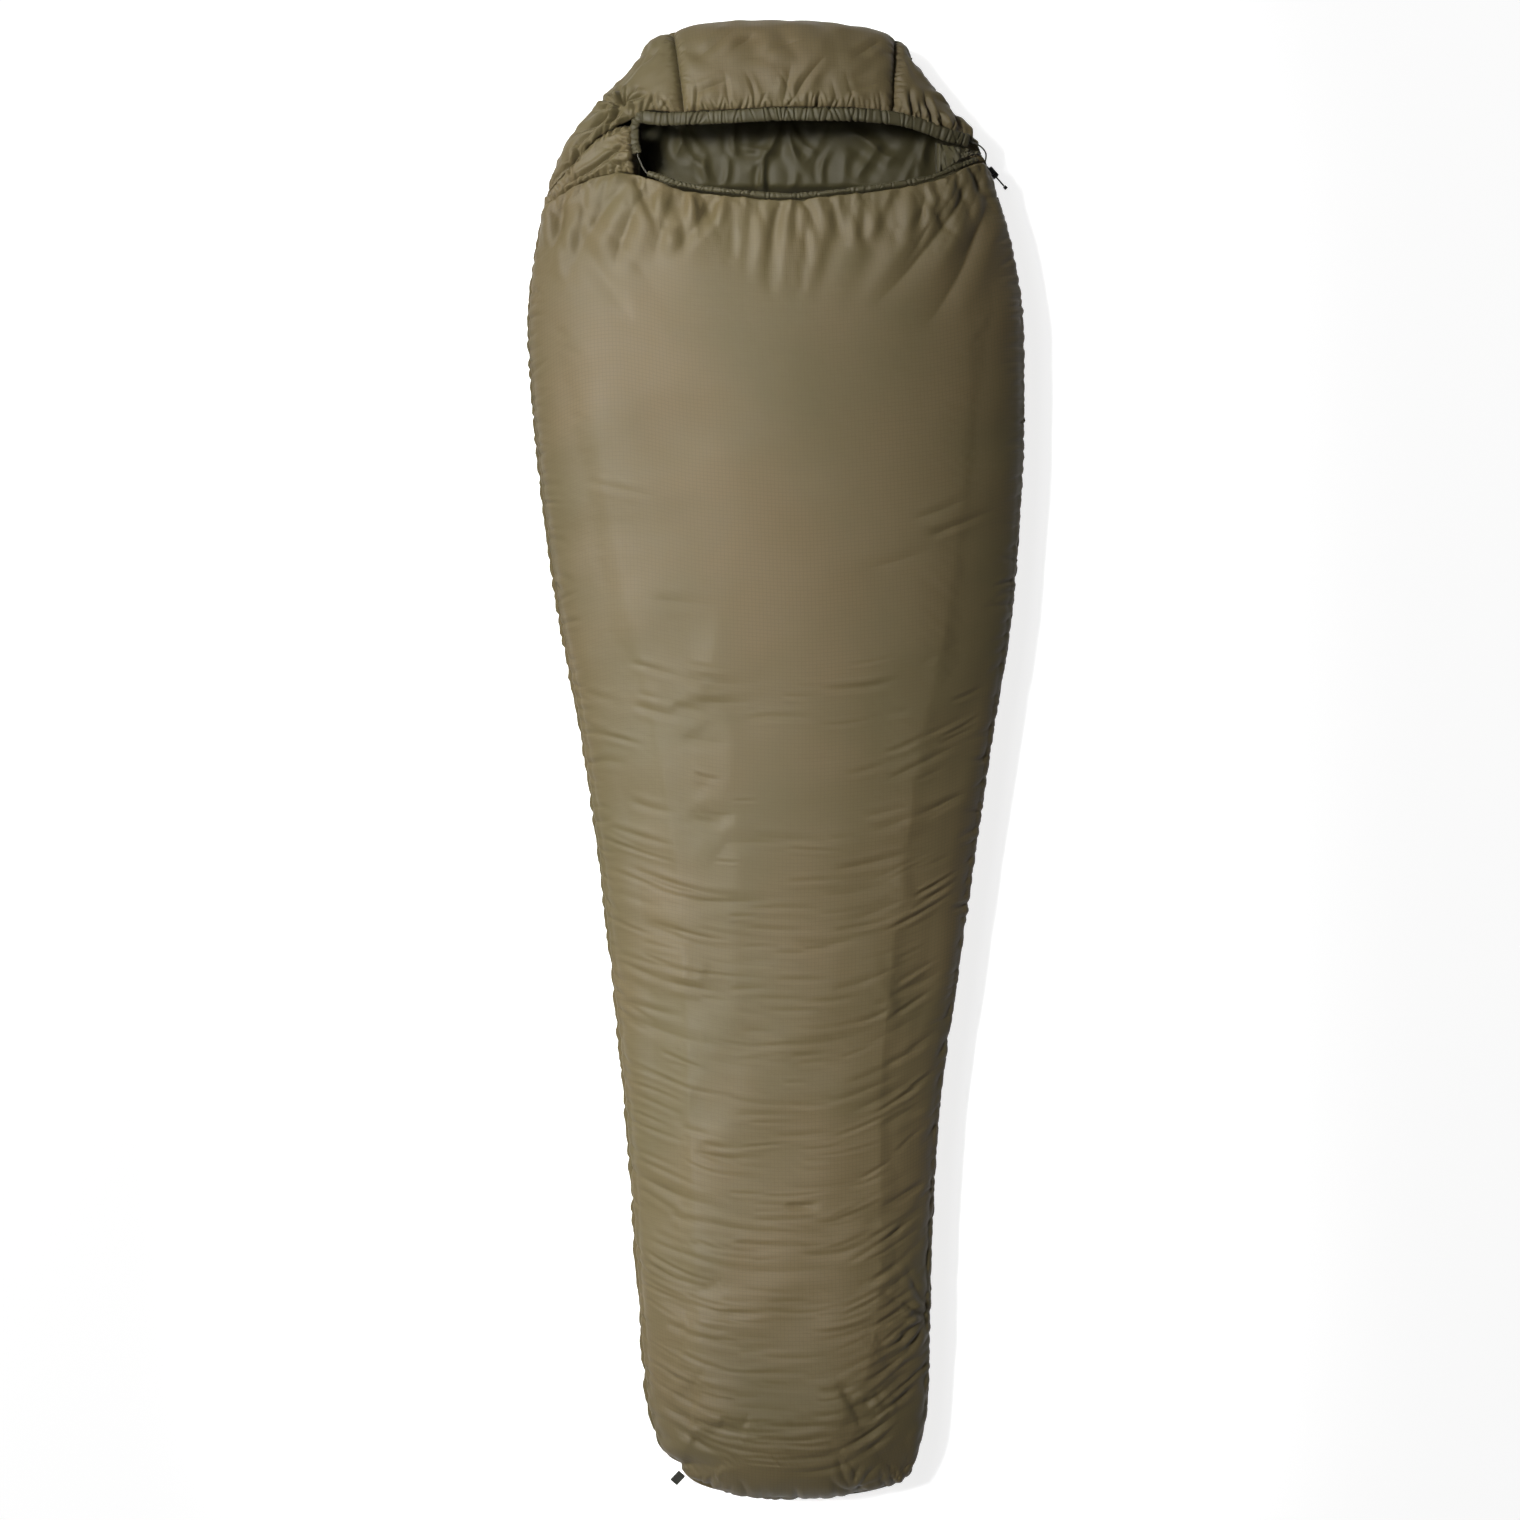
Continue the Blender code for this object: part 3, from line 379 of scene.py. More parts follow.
def doubled(points, axis):
    """Twice as many rows (axis 0) or columns (1), on a smooth surface through the points."""
    p = np.moveaxis(points, axis, 0)
    wide = np.concatenate([2 * p[:1] - p[1:2], p, 2 * p[-1:] - p[-2:-1]])
    out = np.empty((2 * len(p) - 1, *p.shape[1:]))
    out[::2] = p
    out[1::2] = (9 * (wide[1:-2] + wide[2:-1]) - wide[:-3] - wide[3:]) / 16
    return np.moveaxis(out, 0, axis)


def grid_normals(points, outside):
    out = np.cross(np.gradient(points, axis=1), np.gradient(points, axis=0)) * outside
    return out / np.maximum(np.linalg.norm(out, axis=-1), 1e-9)[..., None]


def blurred(values, cells):
    """values smoothed over about this many cells each way."""
    span = 2 * cells + 1
    for axis in (0, 1):
        for _ in range(3):
            v = np.moveaxis(values, axis, 0)
            padded = np.concatenate([np.repeat(v[:1], cells, 0), v, np.repeat(v[-1:], cells, 0)])
            total = np.concatenate([np.zeros_like(padded[:1]), np.cumsum(padded, axis=0)])
            values = np.moveaxis((total[span:] - total[:-span]) / span, 0, axis)
    return values


def grid_faces(rows, columns, outside, first=0):
    a = first + (np.arange(rows - 1)[:, None] * columns + np.arange(columns - 1)).ravel()
    quads = np.stack([a, a + 1, a + 1 + columns, a + columns], axis=-1)
    return (quads if outside > 0 else quads[:, ::-1]).tolist()


def creases(points, strokes):
    """How far creases lower each point.

    A stroke is (start, end, bow, width, depth): a sharp valley with soft shoulders, from start to end
    in plan, bowed to its left.
    """
    drop = np.zeros(points.shape[:2])
    rows_low = points[..., 1].min(axis=1)
    rows_high = points[..., 1].max(axis=1)
    for start, end, bow, width, depth in strokes:
        start, end = np.array(start), np.array(end)
        spare = 5 * width + abs(bow)
        close = (rows_high > min(start[1], end[1]) - spare) & (rows_low < max(start[1], end[1]) + spare)
        close = np.nonzero(close)[0]
        if not len(close):
            continue
        part = slice(close[0], close[-1] + 1)
        length = max(math.dist(start, end), 1e-6)
        ahead = (end - start) / length
        reach = points[part, :, :2] - start
        t = (reach @ ahead) / length
        off = reach[..., 1] * ahead[0] - reach[..., 0] * ahead[1] - 4 * bow * t * (1 - t)
        d = np.abs(off) / width
        hit = (t > 0) & (t < 1) & (d < 5)
        t, d = t[hit], d[hit]
        valley = np.exp(-1.3 * d) - 0.42 * np.exp(-((d - 2.2) ** 2) / 1.5)
        drop[part][hit] += depth * smooth_step(4 * t) * smooth_step(1.7 * (1 - t)) * valley
    return drop


def settled(points, cut, outside, pressure, frames=18):
    """The cloth after a short simulation.

    It starts at points, its threads are as long as in cut, its rim is sewn down, and the filling
    pushes it out with this pressure.
    """
    rows, columns, _ = points.shape
    mesh = bpy.data.meshes.new("trial_cloth")
    mesh.from_pydata(points.reshape(-1, 3), [], grid_faces(rows, columns, outside))
    trial = bpy.data.objects.new("trial_cloth", mesh)
    scene.collection.objects.link(trial)
    trial.shape_key_add(name="Basis")
    longer = trial.shape_key_add(name="cut")
    longer.data.foreach_set("co", cut.astype(np.float32).ravel())
    rim = np.zeros((rows, columns), bool)
    rim[[0, -1], :] = True
    rim[:, [0, -1]] = True
    sewn = trial.vertex_groups.new(name="sewn")
    sewn.add(np.nonzero(rim.ravel())[0].tolist(), 1.0, "REPLACE")
    cloth = trial.modifiers.new("cloth", "CLOTH")
    cloth.settings.quality = 5
    cloth.settings.mass = 0.15
    cloth.settings.air_damping = 2.0
    for stiffness in ("tension_stiffness", "compression_stiffness"):
        setattr(cloth.settings, stiffness, 20)
    cloth.settings.shear_stiffness = 8
    cloth.settings.bending_stiffness = 0.02
    for damping in ("tension_damping", "compression_damping", "shear_damping"):
        setattr(cloth.settings, damping, 10)
    cloth.settings.vertex_group_mass = "sewn"
    cloth.settings.rest_shape_key = longer
    cloth.settings.use_pressure = True
    cloth.settings.uniform_pressure_force = pressure
    cloth.settings.effector_weights.gravity = 0
    cloth.collision_settings.use_collision = False
    for step in range(1, frames + 1):
        scene.frame_set(step)
    result = np.empty(rows * columns * 3, np.float32)
    trial.evaluated_get(bpy.context.evaluated_depsgraph_get()).data.vertices.foreach_get("co", result)
    scene.frame_set(1)
    bpy.data.objects.remove(trial)
    bpy.data.meshes.remove(mesh)
    return result.reshape(rows, columns, 3).astype(float)


def tamed(start, end, outside, cells, broad, most):
    """Keeps the folds of a simulation, and holds its broad swelling within limits."""
    out = grid_normals(start, outside)
    moved = end - start
    swell = np.sum(moved * out, axis=-1)
    slow = blurred(swell, cells)
    folds = np.clip(swell - slow, -most, most)
    slide = np.clip(moved - out * swell[..., None], -most[..., None], most[..., None])
    return start + out * (folds + np.clip(slow, -broad, broad))[..., None] + slide


def cloth_lengths(points):
    """Each point's place on the flat cloth, in metres: across from the middle, and along."""
    steps = np.linalg.norm(np.diff(points, axis=1), axis=-1)
    wide = np.concatenate([np.zeros((len(points), 1)), np.cumsum(steps, axis=1)], axis=1)
    half = points.shape[1] // 2
    wide -= wide[:, half : half + 1]
    long = run_along(points[:, half])
    return np.stack([wide, np.broadcast_to(long[:, None], wide.shape)], axis=-1)


def grid_sides(rows, columns, first=0):
    grid = (first + np.arange(rows * columns)).reshape(rows, columns)
    return [side.tolist() for side in (grid[0], grid[:, -1], grid[-1, ::-1], grid[::-1, 0])]


def walled(name, outer, inner, outside, *finishes):
    """A closed wall of cloth: an outer grid, an inner one that may be coarser, and their rim."""
    rows, columns, _ = outer.shape
    few_rows, few_columns, _ = inner.shape
    base = rows * columns
    faces = grid_faces(rows, columns, outside)
    faces += grid_faces(few_rows, few_columns, -outside, base)
    rim = []
    for fine, coarse in zip(grid_sides(rows, columns), grid_sides(few_rows, few_columns, base)):
        every = (len(fine) - 1) // (len(coarse) - 1)
        half = (every + 1) // 2
        for k, (start, end) in enumerate(zip(coarse[:-1], coarse[1:])):
            steps = fine[k * every : (k + 1) * every + 1]
            for m in range(every):
                rim.append((steps[m + 1], steps[m], start if m < half else end))
            rim.append((steps[half], start, end))
    faces += rim if outside > 0 else [face[::-1] for face in rim]
    uv = np.concatenate([cloth_lengths(outer).reshape(-1, 2), cloth_lengths(inner).reshape(-1, 2)])
    points = np.concatenate([outer.reshape(-1, 3), inner.reshape(-1, 3)])
    return new_piece(name, points, faces, uv, *finishes)


def from_side(points, side):
    """The distance over the cloth from one side of a grid: left, right, low or high."""
    axis = 1 if side in ("left", "right") else 0
    steps = np.linalg.norm(np.diff(points, axis=axis), axis=-1)
    run = np.cumsum(steps, axis=axis)
    run = np.concatenate([np.zeros_like(run[:, :1] if axis else run[:1]), run], axis=axis)
    if side in ("right", "high"):
        run = (run[:, -1:] if axis else run[-1:]) - run
    return run


def puckers(points, side, spacing, length, width, depth, rng):
    """Short creases square to a sewn side, at uneven spacing."""
    line = {"left": points[:, 0], "right": points[:, -1], "low": points[0], "high": points[-1]}[side]
    inner = {"left": points[:, 4], "right": points[:, -5], "low": points[4], "high": points[-5]}[side]
    run = run_along(line)
    at = spacing * rng.uniform(0.3, 0.9)
    strokes = []
    while at < run[-1]:
        here = np.array([np.interp(at, run, line[:, k]) for k in range(2)])
        inward = np.array([np.interp(at, run, inner[:, k]) for k in range(2)]) - here
        inward /= max(np.linalg.norm(inward), 1e-6)
        turn = rng.normal(0, 0.30)
        inward = np.array([
            inward[0] * math.cos(turn) - inward[1] * math.sin(turn),
            inward[0] * math.sin(turn) + inward[1] * math.cos(turn),
        ])
        size = rng.uniform(0.5, 1.4)
        start = here - inward * 0.25 * length
        strokes.append((
            start, here + inward * length * size, rng.normal(0, 0.06) * length,
            width * rng.uniform(0.7, 1.3), depth * rng.uniform(0.5, 1.3),
        ))
        at += spacing * rng.uniform(0.55, 1.5)
    return strokes


RIPSTOP_PITCH = 0.0055


def shell_material(name, colour, roughness):
    """Calendered ripstop nylon: ripstop grid, close weave, small crinkles, slow shifts of tone."""
    made, add, link = new_material(name, colour, roughness, specular=0.22)
    shader = made.node_tree.nodes["Principled BSDF"]
    shader.inputs["Sheen Weight"].default_value = 0.02
    shader.inputs["Sheen Roughness"].default_value = 0.4
    place = add("ShaderNodeTexCoord")
    uv = add("ShaderNodeUVMap", uv_map="cloth")
    broad = add("ShaderNodeTexNoise", {"Vector": place.outputs["Object"]}, Scale=4.5, Detail=4.0)
    fine = add("ShaderNodeTexNoise", {"Vector": place.outputs["Object"]}, Scale=60.0, Detail=4.0)
    stretched = add("ShaderNodeMapping", {"Vector": place.outputs["Object"]}, Scale=(9, 60, 20))
    crinkles = add("ShaderNodeTexNoise", {"Vector": stretched.outputs["Vector"]}, Scale=1.0, Detail=3.0)
    ripstop = []
    for axis in ("X", "Y"):
        band = add(
            "ShaderNodeTexWave", {"Vector": uv.outputs["UV"]}, bands_direction=axis, wave_profile="SIN",
            Scale=math.pi / RIPSTOP_PITCH / 10,
        )
        thread = add("ShaderNodeMapRange", {"Value": band.outputs["Fac"]})
        thread.inputs["From Min"].default_value = 0.90
        ripstop.append(thread.outputs["Result"])
    lines = add("ShaderNodeMath", {0: ripstop[0], 1: ripstop[1]}, operation="MAXIMUM")
    ramp = add("ShaderNodeMapRange", {"Value": broad.outputs["Fac"]})
    ramp.inputs["From Min"].default_value = 0.35
    ramp.inputs["From Max"].default_value = 0.65
    tone = add("ShaderNodeMix", {"Factor": ramp.outputs["Result"]}, data_type="RGBA")
    tone.inputs["A"].default_value = (colour[0] * 0.90, colour[1] * 0.95, colour[2] * 0.90, 1)
    tone.inputs["B"].default_value = (colour[0] * 1.09, colour[1] * 1.05, colour[2] * 1.05, 1)
    # The ripstop grid's lines are drawn in a darker colour than the cloth between them.
    ripstop_lines_darker = add("ShaderNodeMix", {"Factor": lines.outputs[0], "A": tone.outputs["Result"]}, data_type="RGBA")
    ripstop_lines_darker.inputs["B"].default_value = (*[c * 0.88 for c in colour], 1)
    link(ripstop_lines_darker.outputs["Result"], "Base Color")
    sheen = add("ShaderNodeMapRange", {"Value": fine.outputs["Fac"]})
    sheen.inputs["To Min"].default_value = roughness - 0.07
    sheen.inputs["To Max"].default_value = roughness + 0.09
    link(sheen.outputs["Result"], "Roughness")
    crinkle = add("ShaderNodeBump", {"Height": crinkles.outputs["Fac"]}, Strength=0.3, Distance=0.0012)
    grain = add(
        "ShaderNodeBump", {"Height": fine.outputs["Fac"], "Normal": crinkle.outputs["Normal"]},
        Strength=0.3, Distance=0.0012,
    )
    grid = add(
        "ShaderNodeBump", {"Height": lines.outputs[0], "Normal": grain.outputs["Normal"]},
        Strength=0.25, Distance=0.0002,
    )
    link(grid.outputs["Normal"], "Normal")
    return made


SHELL_COLOUR = (0.078, 0.0600, 0.0280)
shell_finish = shell_material("olive_ripstop", SHELL_COLOUR, 0.58)


def hammock(p):
    """How much higher a fold lies at p than in the middle of the bag: it hangs between the seams."""
    left = 0.050 * np.clip((-p - 0.30) / 0.7, 0, 1) ** 1.5
    return left + 0.085 * np.clip((p - 0.25) / 0.75, 0, 1) ** 1.5


def hammock_strokes(rng, count, low, high, size, width, depth):
    """Creases along hammock lines, more of them towards low."""
    strokes = []
    for _ in range(count):
        y = low + (high - low) * rng.uniform() ** 1.5
        where = rng.uniform()
        p = rng.uniform(-0.97, -0.55) if where < 0.24 else rng.uniform(-0.55, 0.5)
        if where > 0.66:
            p = rng.uniform(0.5, 0.98)
        length = size * rng.uniform(0.45, 1.35)
        half = length / 2 / half_width(y)
        p_low, p_high = max(p - half, -0.995), min(p + half, 0.995)
        ends = [
            (float(middle(y) + q * half_width(y)), float(y + hammock(q))) for q in (p_low, p_high)
        ]
        bow = float(y + hammock((p_low + p_high) / 2)) - (ends[0][1] + ends[1][1]) / 2
        tilt = rng.normal(0, 0.05) * length
        ends[1] = (ends[1][0], ends[1][1] + tilt)
        side = 1 + 0.5 * abs(p) ** 3
        strokes.append((
            *ends, bow + rng.normal(0, 0.02) * length, width * rng.uniform(0.6, 1.5),
            depth * side * rng.uniform(0.35, 1.3),
        ))
    return strokes


rng = np.random.default_rng(11)
chest_ends = (bag_left, bag_right, foot_end, below_chest_edge)
CHEST_ACROSS, CHEST_ALONG = 88, 220
chest_columns, chest_rows = even_panel(top_height, chest_ends, CHEST_ACROSS, CHEST_ALONG)
chest_start = panel_grid(top_height, 0.0, chest_columns, chest_rows, *chest_ends)
chest_p = across_share(chest_start[..., 0], chest_start[..., 1])
to_neck = below_chest_edge(chest_p, 0.0) - chest_start[..., 1]
chest_out = grid_normals(chest_start, 1)
inside_rim = np.zeros(chest_start.shape[:2])
inside_rim[1:-1, 1:-1] = 1
legs = smooth_step((0.40 - chest_start[..., 1]) / 0.9)
extra_long = 1.006 + 0.020 * legs
extra_wide = 1.006 + 0.10 * np.exp(-to_neck / 0.07)
chest_cut = chest_start.copy()
steps_long = np.diff(chest_start, axis=0) * ((extra_long[1:] + extra_long[:-1]) / 2)[..., None]
chest_cut[1:] = chest_start[:1] + np.cumsum(steps_long, axis=0)
centre_x = chest_cut[:, CHEST_ACROSS // 2, 0][:, None]
chest_cut[..., 0] = centre_x + (chest_cut[..., 0] - centre_x) * extra_wide
starting_folds = hammock_strokes(rng, 90, -1.04, 0.30, 0.13, 0.013, 0.0022)
for x in np.arange(-0.20, 0.27, 0.028):
    top = (x, float(chest_edge(x)) + 0.01)
    foot = (x * 1.15 + rng.normal(0, 0.01), top[1] - rng.uniform(0.08, 0.19))
    starting_folds.append((top, foot, rng.normal(0, 0.006), 0.011, 0.005))
chest_seed = chest_start - chest_out * (creases(chest_start, starting_folds) * inside_rim)[..., None]
chest_end = settled(chest_seed, chest_cut, 1, 3.0)
most_fold = 0.0024 + 0.0050 * np.exp(-to_neck / 0.12)
chest_skin = tamed(chest_start, chest_end, 1, 8, 0.005, most_fold)
chest_skin = doubled(doubled(doubled(chest_skin, 0), 0), 1)

# Fine creases are then pressed in: hung folds, puckers at the seams, and gathers at the neck.
chest_folds = hammock_strokes(rng, 220, -1.05, 0.16, 0.100, 0.0034, 0.0012)
chest_folds += hammock_strokes(rng, 60, -1.0, 0.40, 0.13, 0.0065, 0.0016)
chest_folds += hammock_strokes(rng, 170, -1.03, -0.20, 0.110, 0.0030, 0.0012)
chest_folds += puckers(chest_skin, "left", 0.020, 0.030, 0.0033, 0.0018, rng)
chest_folds += puckers(chest_skin, "right", 0.016, 0.038, 0.0036, 0.0017, rng)
chest_folds += puckers(chest_skin, "high", 0.0085, 0.022, 0.0026, 0.0026, rng)
chest_folds += puckers(chest_skin, "high", 0.024, 0.105, 0.0075, 0.0042, rng)
chest_folds += puckers(chest_skin, "low", 0.022, 0.035, 0.0035, 0.0020, rng)
SHOULDER_FOLDS = (
    ((0.292, 0.862), (0.125, 0.650), 0.012, 0.011, 0.0065),
    ((0.305, 0.800), (0.205, 0.620), 0.010, 0.012, 0.005),
    ((0.250, 0.848), (0.172, 0.705), 0.006, 0.009, 0.0055),
    ((0.222, 0.850), (0.205, 0.740), 0.0, 0.008, 0.004),
    ((0.318, 0.840), (0.262, 0.720), 0.006, 0.010, 0.0045),
    ((-0.215, 0.862), (-0.318, 0.690), -0.010, 0.011, 0.005),
    ((-0.190, 0.850), (-0.245, 0.690), -0.008, 0.010, 0.005),
    ((-0.150, 0.838), (-0.185, 0.720), 0.0, 0.009, 0.0045),
    ((-0.300, 0.840), (-0.345, 0.700), -0.006, 0.009, 0.004),
)
chest_folds += list(SHOULDER_FOLDS)
ZIP_END = (0.2216, -0.825)
for turn in np.radians((112, 135, 150, 168, 186, 203, 222, 244)):
    reach = rng.uniform(0.05, 0.11)
    tip = (ZIP_END[0] + reach * math.cos(turn), ZIP_END[1] + reach * math.sin(turn))
    chest_folds.append((ZIP_END, tip, rng.normal(0, 0.004), 0.0045, 0.0026))
FOOT_PINCH = (0.116, -1.088)
for turn in np.radians((28, 52, 78, 108, 140)):
    reach = rng.uniform(0.04, 0.09)
    tip = (FOOT_PINCH[0] + reach * math.cos(turn), FOOT_PINCH[1] + reach * math.sin(turn))
    chest_folds.append((FOOT_PINCH, tip, rng.normal(0, 0.004), 0.0045, 0.0026))
swells = blurred(rng.normal(size=chest_skin.shape[:2]), 9)
swells *= 0.0012 / np.std(swells)
sewn_edge = np.minimum(from_side(chest_skin, "left"), from_side(chest_skin, "right"))
low_edge = from_side(chest_skin, "low")
PLUMP_LEFT, PLUMP_RIGHT, PLUMP_REACH = 0.0045, 0.0085, 0.05
PLUMP_END_Y, PLUMP_FADE = 0.850, 0.100
plump = PLUMP_LEFT * np.exp(-from_side(chest_skin, "left") / PLUMP_REACH)
plump += PLUMP_RIGHT * np.exp(-from_side(chest_skin, "right") / PLUMP_REACH)
plump *= smooth_step((PLUMP_END_Y - chest_skin[..., 1]) / PLUMP_FADE)
SIDE_SEAM_DEPTH, SIDE_SEAM_REACH = 0.0020, 0.006
FOOT_SEAM_DEPTH, FOOT_SEAM_REACH = 0.0030, 0.010
side_seam = SIDE_SEAM_DEPTH * np.exp(-sewn_edge / SIDE_SEAM_REACH)
foot_seam = FOOT_SEAM_DEPTH * np.exp(-low_edge / FOOT_SEAM_REACH)
held_down = side_seam + foot_seam - plump
press = creases(chest_skin, chest_folds) + held_down - swells * smooth_step(sewn_edge / 0.05)
chest_skin = chest_skin - grid_normals(chest_skin, 1) * press[..., None]
chest_inner = panel_grid(top_height, WALL, chest_columns[::2], chest_rows[::2], *chest_ends)
chest = walled("chest_quilt", chest_skin, chest_inner, 1, shell_finish)
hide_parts("chest_shell", "chest_foot_fill", "chest_leg_fill", "chest_torso_fill")
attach(chest, "bag")

# ---------------------------------------------------------------- hood
# The hood is three padded panels of the same ripstop: a crown between two sides, joined by two
# stitched seams that pull deep valleys, and sewn to the channel band along the lip.
LIP_EDGE = (
    (-0.360, 0.822), (-0.344, 0.840), (-0.300, 0.888), (-0.262, 0.924), (-0.231, 0.938), (-0.204, 0.939),
    (-0.164, 0.935), (-0.080, 0.937), (0.007, 0.941), (0.107, 0.941), (0.187, 0.935),
    (0.225, 0.924), (0.262, 0.912), (0.300, 0.906), (0.330, 0.904),
)
CROWN_SEAM_LEFT = ((0.90, -0.134), (0.95, -0.138), (1.079, -0.156))
CROWN_SEAM_RIGHT = ((0.90, 0.172), (0.95, 0.173), (1.079, 0.180))
CROWN_SEAM_HALF = 0.0006
BAND_WIDTH, BAND_EASE = 0.020, 0.001
lip_edge = through(LIP_EDGE)
crown_left = through(CROWN_SEAM_LEFT)
crown_right = through(CROWN_SEAM_RIGHT)


def line_at_x(x_of, shift):
    """The panel edge that runs along the bag at x = x_of(y), moved sideways by shift."""
    return lambda y, inset: across_share(x_of(y) + shift, y)


def above_lip(p, inset):
    """The hood panels stop above the lip, to leave room for the channel band."""
    y = y_on(lip_edge, p, inset)
    x = middle(y) + p * half_width(y, inset)
    room = (BAND_WIDTH + BAND_EASE) * smooth_step((x + 0.240) / 0.040) * smooth_step((0.318 - x) / 0.026)
    return y + SEAM_GAP + room


def quilted(name, nodes, height, outside, ends, counts, sewn, strokes, rng, swell=0.0):
    """A padded panel: its grid is rolled down at the sewn sides, and creased.

    sewn is (side, depth, reach) for each sewn side, and swell is how far its middle stands proud.
    """
    columns, rows = even_panel(height, ends, *counts)
    start = panel_grid(height, 0.0, columns, rows, *ends)
    drop = creases(start, strokes(start))
    puff = np.ones(start.shape[:2])
    for side, depth, reach in sewn:
        away = from_side(start, side)
        bulge = smooth_step(from_side(start, "high") / 0.10) if depth < 0 else 1
        drop += depth * bulge * np.exp(-away / reach)
        puff *= 1 - np.exp(-away / (2.5 * reach))
    broad = blurred(rng.normal(size=start.shape[:2]), 6)
    broad *= 0.0013 / np.std(broad)
    skin = start - grid_normals(start, outside) * (drop - swell * puff - broad * puff)[..., None]
    if outside < 0:
        skin[..., 2] = np.maximum(skin[..., 2], 0.0004)
    inner = panel_grid(height, WALL, columns[::4], rows[::4], *ends)
    piece = walled(name, skin, inner, outside, shell_finish)
    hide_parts(*nodes)
    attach(piece, "bag")
    return piece


def crown_strokes(start):
    strokes = puckers(start, "left", 0.0085, 0.014, 0.0018, 0.0018, rng)
    strokes += puckers(start, "right", 0.0085, 0.014, 0.0018, 0.0018, rng)
    strokes += puckers(start, "low", 0.0095, 0.020, 0.0020, 0.0026, rng)
    strokes += puckers(start, "low", 0.040, 0.050, 0.0034, 0.0026, rng)
    strokes += [
        ((0.022, 0.965), (0.082, 1.045), 0.006, 0.0050, 0.0034),
        ((0.010, 0.965), (0.022, 1.030), 0.0, 0.0046, 0.0028),
        ((-0.060, 1.080), (-0.125, 1.030), 0.0, 0.0054, 0.0028),
        ((-0.030, 1.075), (-0.080, 1.035), 0.0, 0.005, 0.0024),
        ((0.156, 1.065), (0.105, 1.030), 0.0, 0.0054, 0.0024),
        ((-0.125, 0.980), (-0.060, 1.005), 0.0, 0.0045, 0.0024),
        ((-0.020, 1.040), (0.050, 1.062), 0.004, 0.0056, 0.0022),
        ((0.100, 0.985), (0.160, 1.000), 0.0, 0.0042, 0.0024),
    ]
    return strokes


def hood_left_strokes(start):
    strokes = puckers(start, "right", 0.0085, 0.014, 0.0018, 0.0018, rng)
    strokes += puckers(start, "low", 0.0100, 0.026, 0.0024, 0.0040, rng)
    strokes += puckers(start, "left", 0.014, 0.030, 0.0030, 0.0026, rng)
    knot = (-0.229, 0.966)
    for turn in np.radians((20, 48, 72, 98, 128, 158, 190, 226)):
        reach = rng.uniform(0.024, 0.052)
        tip = (knot[0] + reach * math.cos(turn), knot[1] + reach * math.sin(turn))
        strokes.append((knot, tip, rng.normal(0, 0.004), 0.0034, 0.0105))
    strokes.append(((-0.240, 0.958), (-0.306, 0.926), 0.005, 0.0036, 0.0110))
    strokes.append(((-0.232, 0.976), (-0.290, 0.958), 0.004, 0.0036, 0.0060))
    strokes.append(((-0.252, 0.948), (-0.318, 0.898), 0.004, 0.0034, 0.0060))
    strokes.append(((-0.170, 1.058), (-0.212, 1.020), 0.003, 0.0040, 0.0030))
    return strokes


def hood_right_strokes(start):
    strokes = puckers(start, "left", 0.0085, 0.014, 0.0018, 0.0018, rng)
    strokes += puckers(start, "right", 0.014, 0.030, 0.0030, 0.0024, rng)
    strokes += puckers(start, "low", 0.0080, 0.022, 0.0022, 0.0038, rng)
    for x in np.arange(0.205, 0.310, 0.0135):
        foot = (x, float(lip_edge(x)) + 0.012)
        tip = (x - rng.uniform(0.006, 0.030), foot[1] + rng.uniform(0.030, 0.066))
        strokes.append((foot, tip, rng.normal(0, 0.003), 0.0034, 0.0070))
    return strokes


crown_left_line = line_at_x(crown_left, CROWN_SEAM_HALF)
crown_right_line = line_at_x(crown_right, -CROWN_SEAM_HALF)
quilted(
    "hood_crown_quilt", ("hood_crown_shell", "hood_crown_fill"), top_height, 1,
    (crown_left_line, crown_right_line, above_lip, crown_end), (224, 128),
    (("left", 0.0080, 0.0050), ("right", 0.0080, 0.0050), ("low", 0.0022, 0.0040), ("high", 0.003, 0.008)),
    crown_strokes, rng, swell=0.0040,
)
quilted(
    "hood_left_quilt", ("hood_left_shell", "hood_left_fill"), top_height, 1,
    (bag_left, line_at_x(crown_left, -CROWN_SEAM_HALF), above_lip, crown_end), (144, 128),
    (("left", 0.003, 0.008), ("right", 0.0080, 0.0050), ("low", 0.0022, 0.0040), ("high", 0.003, 0.008)),
    hood_left_strokes, rng, swell=0.0040,
)
quilted(
    "hood_right_quilt", ("hood_right_shell", "hood_right_fill"), top_height, 1,
    (line_at_x(crown_right, CROWN_SEAM_HALF), bag_right, above_lip, crown_end), (120, 128),
    (("left", 0.0080, 0.0050), ("right", 0.003, 0.008), ("low", 0.0022, 0.0040), ("high", 0.003, 0.008)),
    hood_right_strokes, rng, swell=0.0040,
)

# ---------------------------------------------------------------- neck gusset and fold
# A small lens-shaped padded gusset fills the left corner of the face opening. On the right the
# lining is folded over the edge in its place.
NECK_EASE = 0.005
GUSSET_EASE = 0.0015
GUSSET_END_X = -0.2185
FOLD_START_X = 0.244
FOLD_INSET, FOLD_THICKNESS, FOLD_SINK = 0.003, 0.008, 0.022
FOLD_COLOUR = (0.0400, 0.0345, 0.0165)
CHEST_CHANNEL_RADIUS = 0.0045


def below_lip(p, inset):
    return y_on(lip_edge, p, inset) - NECK_EASE


def gusset_high(p, inset):
    return y_on(lip_edge, p, inset) - GUSSET_EASE


def gusset_low(p, inset):
    return y_on(chest_edge, p, inset) + GUSSET_EASE


